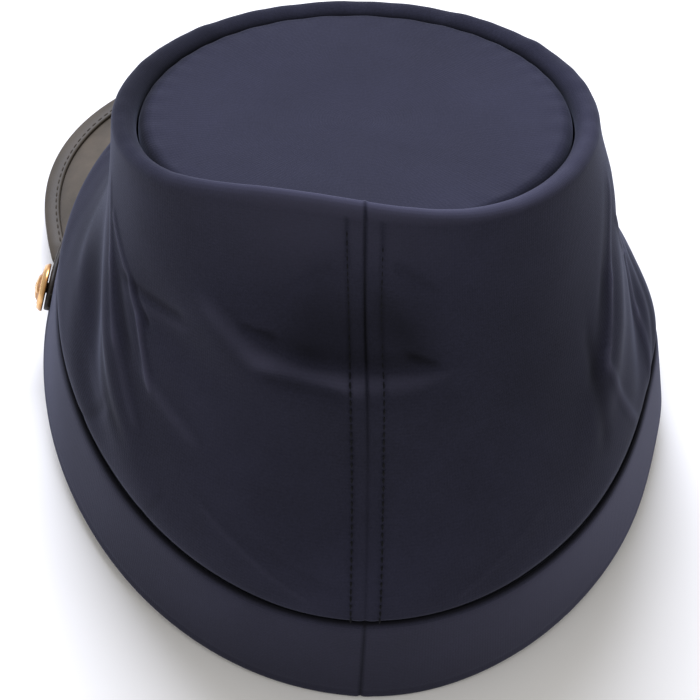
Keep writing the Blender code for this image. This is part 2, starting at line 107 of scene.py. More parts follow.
# Dents and ridges of the crown's wall
# Angle and lean are in degrees, height is a share of the wall, half length and half width are shares
# of TOP_HEIGHT, and depth is a share of FOLD_DEPTH, inwards positive
FOLD_COLUMNS = ("fold", "angle", "height", "length", "width", "lean", "depth")
FOLDS = (
    ("back_hollow", 3, 0.81, 0.19, 0.11, 0, 1.00),
    ("back_ledge", 1, 0.67, 0.21, 0.07, 0, -0.45),
    ("ledge_end", 27, 0.73, 0.14, 0.06, 14, -0.30),
    ("left_dip", 47, 0.72, 0.15, 0.07, 20, 0.35),
    ("left_ridge", 67, 0.58, 0.32, 0.07, 63, -0.50),
    ("left_valley", 79, 0.50, 0.30, 0.08, 60, 0.60),
    ("low_hollow", -2, 0.40, 0.20, 0.14, 0, 0.45),
    ("right_ridge", -73, 0.60, 0.26, 0.07, -47, -0.45),
    ("right_valley", -88, 0.42, 0.22, 0.07, -58, 0.50),
    ("right_shoulder", -92, 0.88, 0.16, 0.10, 0, -0.60),
    ("front_slouch", 172, 0.45, 0.30, 0.12, 0, 0.50),
    ("front_fold", 140, 0.50, 0.20, 0.08, -35, 0.40),
    ("front_fold_right", -142, 0.50, 0.20, 0.08, 35, 0.35),
)

# Fine creases of the crown's wall
# Each is a straight run from one angle and height share to another. Angles are in degrees, and half
# width and depth in mm, inwards positive
CREASE_COLUMNS = ("crease", "from_angle", "from_share", "to_angle", "to_share", "width", "depth")
CREASES = (
    ("left_ridge_top", 79, 0.90, 71, 0.76, 1.1, -0.45),
    ("left_ridge_middle", 71, 0.76, 63, 0.60, 1.2, -0.45),
    ("left_ridge_foot", 63, 0.60, 54, 0.44, 1.8, -0.35),
    ("left_wedge", 66, 0.72, 60, 0.62, 2.2, 0.50),
    ("second_ridge_top", 73.5, 0.85, 62, 0.753, 0.9, -0.60),
    ("second_ridge_bend", 62, 0.753, 56.5, 0.68, 0.9, -0.55),
    ("second_ridge_middle", 56.5, 0.68, 51, 0.56, 1.1, -0.75),
    ("second_ridge_foot", 51, 0.56, 40, 0.50, 2.4, -0.35),
    ("second_ridge_notch", 59, 0.735, 54.5, 0.695, 0.9, 0.60),
    ("left_diagonal", 63, 0.755, 45, 0.748, 1.5, 0.55),
    ("left_diagonal_roll", 58, 0.725, 44, 0.725, 2.2, -0.30),
    ("left_valley_line", 74, 0.60, 60, 0.38, 3.6, 0.80),
    ("left_panel", 92, 0.52, 72, 0.36, 5.0, -0.35),
    ("left_hem_pull", 72, 0.05, 64, 0.33, 1.8, 0.35),
    ("left_hem_pull_back", 50, 0.04, 44, 0.26, 1.6, 0.25),
    ("hollow_nick", 25, 0.768, 19.5, 0.758, 0.8, 0.65),
    ("hollow_floor_left", 18, 0.748, 10, 0.730, 2.4, 0.25),
    ("hollow_floor", 10, 0.728, -12, 0.735, 2.2, 0.42),
    ("hollow_side_left", 12, 0.77, 9, 0.83, 6.0, 0.25),
    ("hollow_middle", 3, 0.77, -7, 0.80, 7.0, 0.20),
    ("hollow_side_right", -8, 0.83, -15, 0.75, 4.0, 0.30),
    ("ledge_left", 33, 0.780, 25, 0.734, 2.4, -0.45),
    ("ledge_middle", 19, 0.712, 5, 0.698, 2.6, -0.85),
    ("ledge_right", -2, 0.700, -17, 0.716, 2.4, -0.60),
    ("ledge_shadow", 19, 0.683, 5, 0.674, 1.3, 0.50),
    ("right_nick", -12.5, 0.748, -17.5, 0.736, 0.9, 0.60),
    ("right_spot", -11, 0.912, -17, 0.888, 1.3, 0.40),
    ("low_pull_left", 33, 0.31, 13, 0.13, 1.6, -0.22),
    ("low_pull_middle", 22, 0.28, 8, 0.20, 2.0, 0.18),
    ("low_pull_right", -38, 0.30, -20, 0.12, 1.6, -0.20),
    ("right_line_top", -84, 0.88, -73.5, 0.71, 1.2, -0.55),
    ("right_line_middle", -73.5, 0.71, -63.5, 0.55, 1.2, -0.65),
    ("right_line_dot", -65, 0.577, -64, 0.572, 0.9, -0.50),
    ("right_line_side", -79.5, 0.88, -69.5, 0.71, 2.6, 0.28),
    ("right_line_side_low", -69.5, 0.71, -60, 0.56, 2.6, 0.28),
    ("right_line_foot", -63.5, 0.53, -70, 0.18, 1.7, -0.50),
    ("right_line_shade", -60, 0.62, -58, 0.36, 2.6, 0.45),
    ("right_edge_upper", -86, 0.79, -96, 0.54, 1.2, -0.50),
    ("right_edge_top", -96, 0.54, -87.5, 0.39, 1.3, -0.50),
    ("right_outer_shade", -94, 0.80, -106, 0.52, 2.6, 0.45),
    ("right_edge_foot", -87.5, 0.38, -79, 0.06, 1.6, -0.45),
    ("right_edge_shade", -99, 0.42, -86, 0.16, 3.0, 0.60),
    ("front_crease", 165, 0.80, 172, 0.42, 2.6, 0.60),
    ("front_crease_low", -172, 0.40, -164, 0.10, 2.2, 0.55),
    ("front_break", 150, 0.34, -160, 0.30, 2.8, 0.55),
    ("side_crease", 144, 0.74, 130, 0.30, 2.4, 0.60),
    ("side_crease_low", 152, 0.42, 138, 0.08, 2.0, -0.45),
    ("side_crease_right", -126, 0.74, -112, 0.30, 2.4, 0.60),
    ("side_roll_right", -138, 0.40, -122, 0.10, 2.0, -0.45),
)

# Peak and its binding, with angles from the peak's middle
PEAK_MIDDLE = math.radians(176.5)
PEAK_HALF_ANGLE = math.radians(64.3)
PEAK_REACH = 31.7 * MM
PEAK_SQUARENESS = 4.0
PEAK_ROUNDNESS = 2.0
PEAK_SLOPE = math.radians(30)
PEAK_SIDE_RISE = math.radians(15)
PEAK_LEATHER = 1.8 * MM
PEAK_FLANGE = 6.5 * MM
PEAK_LEDGE = 0.8 * MM
BINDING_WIDTH = 5.0 * MM
BINDING_LEATHER = 1.0 * MM
BINDING_MARGIN = 0.6 * MM
BINDING_HALF_ANGLE = math.radians(60)
BINDING_SKIVE = math.radians(3)
PEAK_SWELL = 0.35 * MM
PEAK_RIPPLE = 0.10 * MM

# Chin strap, slide and buttons, with angles from the peak's middle
STRAP_WIDTH = 13.0 * MM
STRAP_LEATHER = 1.4 * MM
STRAP_HEIGHT = 12.0 * MM
STRAP_SEAT = 0.2 * MM
STRAP_LINE_DEPTH = 0.22 * MM
STRAP_LINE_PLACE = 0.78
STRAP_LINE_WIDTH = 0.035
STRAP_SHOULDER = 0.86
BUTTON_ANGLE = math.radians(69.5)
BUTTON_RADIUS = 7.2 * MM
BUTTON_DOME = 2.2 * MM
BUTTON_EDGE = 0.7 * MM
BUTTON_RELIEF = 0.4 * MM
BUTTON_POINTS = 5
STAR_REACH = 0.62
STAR_NOTCH = 0.27
STAR_RIDGE = 0.18 * MM
BEADS = 26
BEAD_RING = 0.73
BEAD_HEIGHT = 0.30 * MM
SHANK_RADIUS = 1.6 * MM
SHANK_HEAD = 3.2 * MM
SHANK_HEAD_THICKNESS = 0.8 * MM
SLIDE_ANGLE = math.radians(26)
SLIDE_LENGTH = 9.0 * MM
SLIDE_WALL = 1.1 * MM
SLIDE_CORNER = 0.9 * MM
SLIDE_CLEARANCE = 0.4 * MM
SLIDE_SEAT = 0.6

# Grid runs, each from, to and count: degrees round the cap and height shares up the crown's wall
ANGLE_RUNS = ((-5, 5, 45), (5, 42, 37), (42, 96, 108), (96, 252, 100), (252, 305, 104), (305, 355, 50))
SHARE_RUNS = ((0, 0.05, 8), (0.05, 0.62, 37), (0.62, 0.88, 31), (0.88, 1.0, 11))

# Stitching
STITCH_PITCH = 2.7 * MM
STITCH_LENGTH = 2.0 * MM
THREAD_RADIUS = 0.30 * MM
THREAD_SINK = 0.78 * MM
THREAD_STEP = 0.4 * MM
BINDING_STITCH_INSET = 1.1 * MM

# Back seam, the rows of topstitching beside it, and how hard its threads pull by the wall's height
TOPSTITCH_OFFSET = 4.5 * MM
SEAM_WIDTH = 0.6 * MM
SEAM_DEPTH = 0.9 * MM
SEAM_SWELL = 0.30 * MM
SEAM_PUCKER = 0.07 * MM
SEAM_TURN = math.radians(-2.1)
SEAM_TURN_SHARE = 0.75
ROW_WIDTH = 0.7 * MM
ROW_DEPTH = 0.40 * MM
LOW_PULL = 0.15
PULL_START = 0.48
PULL_RISE = 0.30

# Foot of the crown, drawn in over the band and up to five times as high at the sides
FOOT_TUCK = 1.6 * MM
FOOT_TUCK_HEIGHT = 2.2 * MM
SIDE_TUCK = 4.0

# Slack of the cloth: the seed of its waves and their height
WALL_SLACK = (5, 0.11 * MM)
TOP_SLACK = (11, 0.10 * MM)

# Band: its folded top edge, the back seam with a swell each side, and the hem line
BAND_FOLD = 0.55 * MM
BAND_FOLD_HEIGHT = 1.8 * MM
BAND_SEAM_DEPTH = 0.30 * MM
BAND_SWELL = 0.10 * MM
BAND_SWELL_PLACE = 2.0 * MM
BAND_SWELL_WIDTH = 1.4 * MM
HEM_LINE_DEPTH = 0.20 * MM
HEM_LINE_HEIGHT = 3.4 * MM
HEM_LINE_WIDTH = 0.7 * MM

# Rubbed wear and painted light make the cloth paler, and painted shade makes it darker
# Ridges get rubbed nap and painted highlight, and creases painted shade, by the crease and fold depths
CREASE_WEAR_AND_SHADING = 0.8
FOLD_SHARE = 0.03
SEAM_SHADE = 0.1
PULLED_SEAM_SHADE = 0.7
ROW_SHADE = 0.30
FOOT_SHADE = 1.3
FOOT_SHADE_HEIGHT = 1.3
FOOT_SHADE_SIDES = 0.7
# Painted highlight on the cloth that stands up behind the top
STANDING_HIGHLIGHT = 0.42
STANDING_ANGLE = math.radians(9)
STANDING_SPREAD = math.radians(30)
STANDING_START = 0.80
STANDING_RISE = 0.16
# Painted light on the top, and painted shade at its edge
TOP_PAINTED_LIGHT = 0.22
TOP_EDGE_SHADE = 0.35
TOP_EDGE_START = 0.945
TOP_EDGE_RISE = 0.05
# Painted light on the band, more on its right side, and painted shade at its top edge and in its seam
BAND_PAINTED_LIGHT = 0.20
BAND_SEAM_SHADE = 0.8
BAND_EDGE_HEIGHT = 1.2 * MM

# Places of painted light and shade round the rim and the band, and of painted shade round the top's edge
# Each has its angle and spread in degrees, and how much painted light or shade it gets
RIM_LIGHT_AND_SHADE = ((-15, 75, 0.90), (100, 50, -0.60))
BAND_LIT_PLACES = ((-70, 45, 0.60),)
TOP_EDGE_SHADED = ((115, 75, 0.65),)

# Patches of painted shade on the crown's wall
# Angle and spread are in degrees, height and its spread are shares of the wall, and a squareness of 2
# gives a patch a flatter middle
# The last column is how much painted shade a patch gets, darker below 0
PATCH_COLUMNS = ("patch", "angle", "angle_spread", "height", "height_spread", "squareness", "tone_shift")
SHADED_WALL_PATCHES = (
    ("back_hollow", -3, 15, 0.80, 0.07, 2, -0.10),
    ("left_side", 102, 24, 0.60, 0.28, 1, -0.80),
    ("flat_right", -50, 20, 0.62, 0.32, 1, -0.25),
)

# Patterns of the materials, as threads, patches, fibres or marks in a millimetre
# A wave texture takes the sine of 20 times its coordinate, so a scale of 0.314, 2 pi over 20, draws one
# wave to a thread. Its diagonal bands take 10 times, so the twist's 0.9 draws about 2.5 turns
WOOL_THREADS = 1 / (0.8 * MM)
WAVE_SCALE = 0.314
WOOL_PATCHES = 0.014 / MM
WOOL_FIBRES = 1.4 / MM
LEATHER_PATCHES = 0.045 / MM
LEATHER_CREASES = 0.26 / MM
BRASS_TARNISH = 0.42 / MM
THREAD_TWIST = 0.9 / MM

# Studio: half the floor's side, the white surroundings' strength and the window light, in metres and watts
FLOOR_HALF = 2.5
SURROUNDINGS = 0.62
WINDOW_PLACE = (0.25, -1.25, 1.45)
WINDOW_AIM = (0, 0, 0.08)
WINDOW_SIZE = (1.2, 0.9)
WINDOW_POWER = 52

# Camera: fitted to the photograph's outline, given in the level cap's own frame
VIEW_AZIMUTH = math.radians(176.6)
VIEW_ELEVATION = math.radians(62.4)
VIEW_ROLL = math.radians(4.23)
VIEW_DISTANCE = 1314.5 * MM
VIEW_AIM = np.array([5.35, 13.94, 56.9]) * MM
LENS = 233.97
SENSOR = 36.0


def bump(distance, width):
    """1 at the middle, falling as a bell curve with distance over width."""
    return np.exp(-(distance / width) ** 2)


def wrapped(angle):
    """The same angle between minus and plus half a turn."""
    return (angle + np.pi) % (2 * np.pi) - np.pi


def bump_round(angle, middle, spread):
    """Bell curve round the cap: 1 at the middle angle, falling with the turn away from it."""
    return bump(wrapped(angle - middle), spread)


def unit(vectors):
    """The same directions, each divided by its length."""
    return vectors / np.linalg.norm(vectors, axis=-1, keepdims=True)


def rest(points):
    """Turns level cap points about X by the tip angle, then moves them to the rest place."""
    c, s = math.cos(REST_TIP), math.sin(REST_TIP)
    turn = np.array([[1, 0, 0], [0, c, s], [0, -s, c]])
    return points @ turn.T + REST_PLACE


def ring_point(angle, inset, height):
    """Ellipse round the head, widened by the cosine towards the front.

    Its front drifts towards the wearer's left, a bell curve swells its right side, and another
    flares its back in proportion to the depth below the band's top edge.
    """
    front = -np.cos(angle)
    x = (HALF_WIDTH - inset) * np.sin(angle) * (1 + FRONT_WIDENING * front)
    x = x + FRONT_DRIFT * (0.5 * (1 + front)) ** 2
    x = x - RIGHT_SWELL * bump_round(angle, SWELL_ANGLE, SWELL_SPREAD)
    low = np.clip(1 - height / BAND_HEIGHT, 0, 1)
    y = (HALF_LENGTH - inset) * np.cos(angle)
    y = y + BACK_FLARE * low * bump_round(angle, FLARE_ANGLE, FLARE_SPREAD)
    return np.stack(np.broadcast_arrays(x, y, height), axis=-1)


def ring_outward(angle):
    """The ring's tangent, from a small step either way, turned a quarter and made unit length."""
    step = 1e-4
    along = ring_point(angle + step, 0.0, 0.0) - ring_point(angle - step, 0.0, 0.0)
    return unit(np.stack([-along[..., 1], along[..., 0], np.zeros_like(along[..., 0])], axis=-1))


def band_inset(height):
    """The band's lean: its taper in proportion to the height."""
    return BAND_TAPER * height / BAND_HEIGHT


def top_axes():
    """Side, back and up directions: the level axes tilted about X, then leaned about Y."""
    ct, st = math.cos(TOP_TILT), math.sin(TOP_TILT)
    cl, sl = math.cos(TOP_LEAN), math.sin(TOP_LEAN)
    tilt = np.array([[1, 0, 0], [0, ct, -st], [0, st, ct]])
    lean = np.array([[cl, 0, sl], [0, 1, 0], [-sl, 0, cl]])
    return (lean @ tilt).T


def top_point(angle, radius, height):
    """Polar point on the tilted top: middle plus radius round it plus height over its plane."""
    side, back, up = top_axes()
    middle = np.array([TOP_SHIFT, -TOP_FORWARD, TOP_HEIGHT])
    angle, radius, height = np.broadcast_arrays(angle, radius, height)
    flat = np.sin(angle)[..., None] * side + np.cos(angle)[..., None] * back
    return middle + radius[..., None] * flat + height[..., None] * up


def rim_rise(angle):
    """Bell curve of extra rim height behind the top."""
    return RIM_BACK_RISE * bump_round(angle, RIM_RISE_ANGLE, RIM_RISE_SPREAD)


def rim_start(angle):
    """Height of the wall's top over the top's plane: most of the rim's rise, less the edge drop."""
    return RIM_WALL_SHARE * rim_rise(angle) - RIM_EDGE_DROP


def curve_value(angle, column):
    """A column of the curve table, blended by squared sine and cosine of the angle."""
    weights = {
        "back": np.clip(np.cos(angle), 0, 1) ** 2,
        "front": np.clip(-np.cos(angle), 0, 1) ** 2,
        "left": np.clip(np.sin(angle), 0, 1) ** 2,
        "right": np.clip(-np.sin(angle), 0, 1) ** 2,
    }
    place = CURVE_COLUMNS.index(column)
    return BAND_HEIGHT * sum(weights[row[0]] * row[place] for row in CURVES)


def fold_depth(angle, share):
    """Sum over the fold table of depth times a bell along the fold times a bell across it."""
    depth = np.zeros_like(angle)
    for row in FOLDS:
        fold = dict(zip(FOLD_COLUMNS, row))
        x = wrapped(angle - math.radians(fold["angle"])) * 0.5 * (HALF_WIDTH + TOP_RADIUS)
        y = (share - fold["height"]) * TOP_HEIGHT
        turn = math.radians(fold["lean"])
        along = x * math.cos(turn) + y * math.sin(turn)
        across = y * math.cos(turn) - x * math.sin(turn)
        hollow = bump(along, fold["length"] * TOP_HEIGHT) * bump(across, fold["width"] * TOP_HEIGHT)
        depth += fold["depth"] * FOLD_DEPTH * hollow
    return depth


def crease_depth(angle, share):
    """Sum over the crease table of depth times a bell of the distance from the run, fading past its ends."""
    radius = 0.5 * (HALF_WIDTH + TOP_RADIUS)
    depth = np.zeros_like(angle)
    for row in CREASES:
        crease = dict(zip(CREASE_COLUMNS, row))
        run_x = math.radians(crease["to_angle"] - crease["from_angle"])
        if abs(run_x) > np.pi:
            run_x -= math.copysign(2 * np.pi, run_x)
        run = np.array([run_x * radius, (crease["to_share"] - crease["from_share"]) * TOP_HEIGHT])
        x = wrapped(angle - math.radians(crease["from_angle"])) * radius
        y = (share - crease["from_share"]) * TOP_HEIGHT
        length = math.hypot(*run)
        along = (x * run[0] + y * run[1]) / length
        across = (y * run[0] - x * run[1]) / length
        beyond = np.maximum(np.maximum(-along, along - length), 0)
        width = crease["width"] * MM
        depth += crease["depth"] * MM * bump(across, width) * bump(beyond, 2.5 * width)
    return depth


def slack(angle, share, seed, height):
    """Sum of sine waves in seeded directions, from 60 down to 14 mm long, for the cloth's slack."""
    draw = np.random.default_rng(seed)
    x = wrapped(angle) * 0.5 * (HALF_WIDTH + TOP_RADIUS)
    y = share * TOP_HEIGHT
    total = np.zeros_like(x + y)
    for length in np.geomspace(60, 14, 9) * MM:
        heading, phase = draw.uniform(0, 2 * np.pi, 2)
        turns = max(1, round(math.cos(heading) * np.pi * (HALF_WIDTH + TOP_RADIUS) / length))
        across = turns * angle + 2 * np.pi * y * math.sin(heading) / length
        total = total + length / (60 * MM) * np.sin(across + phase)
    return height * total


def flat_slack(x, y, seed, height):
    """Sum of plane sine waves in seeded directions, from 70 down to 18 mm long, for a flat cloth."""
    draw = np.random.default_rng(seed)
    total = np.zeros_like(x + y)
    for length in np.geomspace(70, 18, 7) * MM:
        heading, phase = draw.uniform(0, 2 * np.pi, 2)
        across = 2 * np.pi * (x * math.cos(heading) + y * math.sin(heading)) / length
        total = total + (length / (70 * MM)) ** 1.5 * np.sin(across + phase)
    return height * total


def smooth_wall(angle, share):
    """Cubic Bezier curve in share, from the band's top edge to the rolled rim."""
    up = top_axes()[2]
    outward = ring_outward(angle)
    foot = ring_point(angle, BAND_TAPER + GAP, BAND_HEIGHT + 2 * GAP)
    head = top_point(angle, TOP_RADIUS + RIM_WIDTH, rim_start(angle))
    lift = UPRIGHT_SHARE * np.array([0, 0, 1.0]) + (1 - UPRIGHT_SHARE) * up
    low = foot + lift * curve_value(angle, "rise")[..., None]
    low = low + outward * curve_value(angle, "flare")[..., None]
    high = head - up * curve_value(angle, "fall")[..., None]
    high = high + outward * curve_value(angle, "stand_out")[..., None]
    t = share[..., None]
    return (1 - t) ** 3 * foot + 3 * t * (1 - t) ** 2 * low + 3 * t ** 2 * (1 - t) * high + t ** 3 * head


def seam_angle(share):
    """The back seam wanders towards the wearer's right as the wall rises, by a squared sine."""
    return SEAM_TURN * np.sin(0.5 * np.pi * np.clip(share / SEAM_TURN_SHARE, 0, 1)) ** 2


def seam_pull(share):
    """How hard the seam's threads pull: the low pull near the band, rising evenly to 1 further up."""
    return LOW_PULL + (1 - LOW_PULL) * np.clip((share - PULL_START) / PULL_RISE, 0, 1)


def wall_radius(share):
    """The wall's rough radius, evenly from the band's half width to the top's radius."""
    return HALF_WIDTH + (TOP_RADIUS - HALF_WIDTH) * share


def seam_distance(angle, share):
    """Distance round the wall from the back seam: the turn away from it times the radius."""
    return wrapped(angle - seam_angle(share)) * wall_radius(share)


def back_seam_depth(angle, share):
    """A narrow V along the back seam, with a soft swell each side and slight puckers along it."""
    side = seam_distance(angle, share)
    groove = SEAM_DEPTH * (0.3 + 0.7 * seam_pull(share)) * bump(side, SEAM_WIDTH)
    swell = -SEAM_SWELL * bump(np.abs(side) - 0.5 * TOPSTITCH_OFFSET, 0.4 * TOPSTITCH_OFFSET)
    row = ROW_DEPTH * seam_pull(share) * bump(np.abs(side) - TOPSTITCH_OFFSET, ROW_WIDTH)
    pucker = SEAM_PUCKER * np.sin(2 * np.pi * share * TOP_HEIGHT / STITCH_PITCH)
    return groove + swell + row + pucker * bump(side, 1.6 * TOPSTITCH_OFFSET)


def crown_wall(angle, share):
    """The smooth wall moved along its normal by folds, creases, slack, back seam and tucked foot.

    The tuck reaches higher by the squared sine of the angle, so that the joint shows at the sides too.
    """
    step = 1e-3
    above, below = np.clip(share + step, 0, 1), np.clip(share - step, 0, 1)
    around = smooth_wall(angle + step, share) - smooth_wall(angle - step, share)
    upward = smooth_wall(angle, above) - smooth_wall(angle, below)
    inward = unit(np.cross(around, upward))
    ends = np.sin(np.pi * np.clip(share, 0, 1)) ** 0.5
    depth = ends * (fold_depth(angle, share) + crease_depth(angle, share))
    depth = depth + ends * slack(angle, share, *WALL_SLACK) + back_seam_depth(angle, share) * ends ** 0.3
    tuck_height = FOOT_TUCK_HEIGHT * (1 + SIDE_TUCK * np.sin(angle) ** 2)
    depth = depth + FOOT_TUCK * bump(share * TOP_HEIGHT, tuck_height)
    return smooth_wall(angle, share) + inward * depth[..., None]


def rim_tucks(angle):
    """Small uneven tucks round the rim: three sine waves, strongest at the front left and right."""
    waves = 0.5 * np.sin(19 * angle + 0.4) + 0.3 * np.sin(31 * angle + 2.1) + 0.3 * np.sin(47 * angle + 1.0)
    return waves * (0.35 + 0.65 * bump_round(angle, -2.3, 0.8) + 0.4 * bump_round(angle, 2.4, 0.5))


def rim_seam_distance(angle):
    """Distance round the rim from the back seam."""
    return wrapped(angle - seam_angle(1.0)) * (TOP_RADIUS + RIM_WIDTH)


def rim_roll(angle, share):
    """Half turn from the wall's top (0), over the crest, down into the groove (1), with tucks.

    A bell curve of the angle presses the crest a little flatter in front, by the front drop.
    """
    arch = np.sin(np.pi * share)
    tuck = rim_tucks(angle) * arch
    radius = TOP_RADIUS + RIM_WIDTH * (0.5 + 0.5 * np.cos(np.pi * share)) + RIM_TUCK_OUT * tuck
    notch = SEAM_DEPTH * bump(rim_seam_distance(angle), SEAM_WIDTH)
    radius = radius - notch * np.clip(1 - share, 0, 1) * arch
    start = rim_start(angle)
    front = bump_round(angle, np.pi, RIM_FRONT_SPREAD)
    hump = RIM_CREST + rim_rise(angle) - RIM_FRONT_DROP * front - 0.5 * (start - GROOVE_DEPTH)
    height = start + (-GROOVE_DEPTH - start) * share + (hump + RIM_TUCK_UP * tuck) * arch
    return top_point(angle, radius, height)


def path_lengths(points, axis):
    """Running length, from 0, along one axis of a grid or a line of points."""
    steps = np.linalg.norm(np.diff(points, axis=axis), axis=-1)
    pad = [(0, 0)] * steps.ndim
    pad[axis] = (1, 0)
    return np.cumsum(np.pad(steps, pad), axis=axis)


def mesh_from_arrays(name, vertices, quads, corner_map=None):
    """Mesh from an array of vertices and an array of quads, with an optional map per corner."""
    mesh = bpy.data.meshes.new(name)
    mesh.vertices.add(len(vertices))
    mesh.vertices.foreach_set("co", vertices.astype(np.float32).ravel())
    mesh.loops.add(quads.size)
    mesh.loops.foreach_set("vertex_index", quads.astype(np.int32).ravel())
    mesh.polygons.add(len(quads))
    mesh.polygons.foreach_set("loop_start", np.arange(0, quads.size, 4, dtype=np.int32))
    if corner_map is not None:
        layer = mesh.uv_layers.new(name="cloth")
        layer.data.foreach_set("uv", corner_map.astype(np.float32).ravel())
    mesh.update(calc_edges=True)
    mesh.polygons.foreach_set("use_smooth", np.ones(len(quads), dtype=bool))
    return mesh


def place(name, mesh, material):
    """Piece from a mesh whose points are already where they belong."""
    mesh.materials.append(material)
    piece = bpy.data.objects.new(name, mesh)
    bpy.context.scene.collection.objects.link(piece)
    return piece


def grid_piece(name, points, material, close_rows=True, close_columns=False, caps=False, merge=False,
               marks=None):
    """Piece from a grid of points, whose map holds the running lengths round and up it in metres.

    Marks give one number per point for the material: the rubbed wear, painted light and painted shade of
    cloth, the relief of brass.
    """
    rows, columns = points.shape[:2]
    across = np.concatenate([points, points[:1]]) if close_rows else points
    across = np.concatenate([across, across[:, :1]], axis=1) if close_columns else across
    u = path_lengths(across, 0)[:, columns // 2]
    v = path_lengths(across, 1).mean(axis=0)
    i, j = np.meshgrid(np.arange(len(u) - 1), np.arange(len(v) - 1), indexing="ij")
    i, j = i.ravel(), j.ravel()
    corners = ((i, j), (i + 1, j), (i + 1, j + 1), (i, j + 1))
    quads = np.stack([(a % rows) * columns + b % columns for a, b in corners], axis=1)
    lengths = np.stack([np.stack([u[a], v[b]], axis=-1) for a, b in corners], axis=1)
    mesh = mesh_from_arrays(name, rest(points.reshape(-1, 3)), quads, lengths.reshape(-1, 2))
    if marks is not None:
        layer = mesh.attributes.new(marks[0], "FLOAT", "POINT")
        values = np.broadcast_to(marks[1], (rows, columns)).astype(np.float32)
        layer.data.foreach_set("value", values.ravel())
    if caps or merge:
        work = bmesh.new()
        work.from_mesh(mesh)
        work.verts.ensure_lookup_table()
        if caps:
            work.faces.new([work.verts[k] for k in range(columns)])
            work.faces.new([work.verts[(rows - 1) * columns + k] for k in reversed(range(columns))])
        bmesh.ops.remove_doubles(work, verts=work.verts, dist=1e-7)
        bmesh.ops.recalc_face_normals(work, faces=work.faces)
        work.to_mesh(mesh)
        work.free()
    return place(name, mesh, material)


def face_away(piece, inside):
    """Turn an open surface over if most of it looks towards a point inside the cap."""
    mesh = piece.data
    centres = np.empty(3 * len(mesh.polygons))
    normals = np.empty(3 * len(mesh.polygons))
    mesh.polygons.foreach_get("center", centres)
    mesh.polygons.foreach_get("normal", normals)
    outward = (centres.reshape(-1, 3) - inside) * normals.reshape(-1, 3)
    if outward.sum() < 0:
        mesh.flip_normals()
    return piece


def give_wall(piece, thickness, offset=-1.0):
    """Even thickness behind the surface, or to both sides of it where the offset is 0."""
    wall = piece.modifiers.new("thickness", "SOLIDIFY")
    wall.thickness = thickness
    wall.offset = offset
    wall.use_even_offset = True
    return piece


def srgb(hex_colour):
    """Linear colour from an sRGB hex value: each channel through the standard curve."""
    channels = [int(hex_colour[k:k + 2], 16) / 255 for k in (0, 2, 4)]
    return (*(c / 12.92 if c <= 0.04045 else ((c + 0.055) / 1.055) ** 2.4 for c in channels), 1.0)


def new_material(name):
    """Empty material with its node tree."""
    material = bpy.data.materials.new(name)
    material.use_nodes = True
    material.node_tree.nodes.clear()
    return material, material.node_tree


def add_node(tree, kind, settings=None, inputs=None, links=None, stops=()):
    """One node with its settings, input values by name or number, links and any ramp's stops."""
    node = tree.nodes.new("ShaderNode" + kind)
    for key, value in (settings or {}).items():
        setattr(node, key, value)
    for key, value in (inputs or {}).items():
        node.inputs[key].default_value = value
    for key, source in (links or {}).items():
        tree.links.new(source, node.inputs[key])
    for count, (position, colour) in enumerate(stops):
        elements = node.color_ramp.elements
        element = elements[count] if count < 2 else elements.new(position)
        element.position = position
        element.color = srgb(colour)
    return node


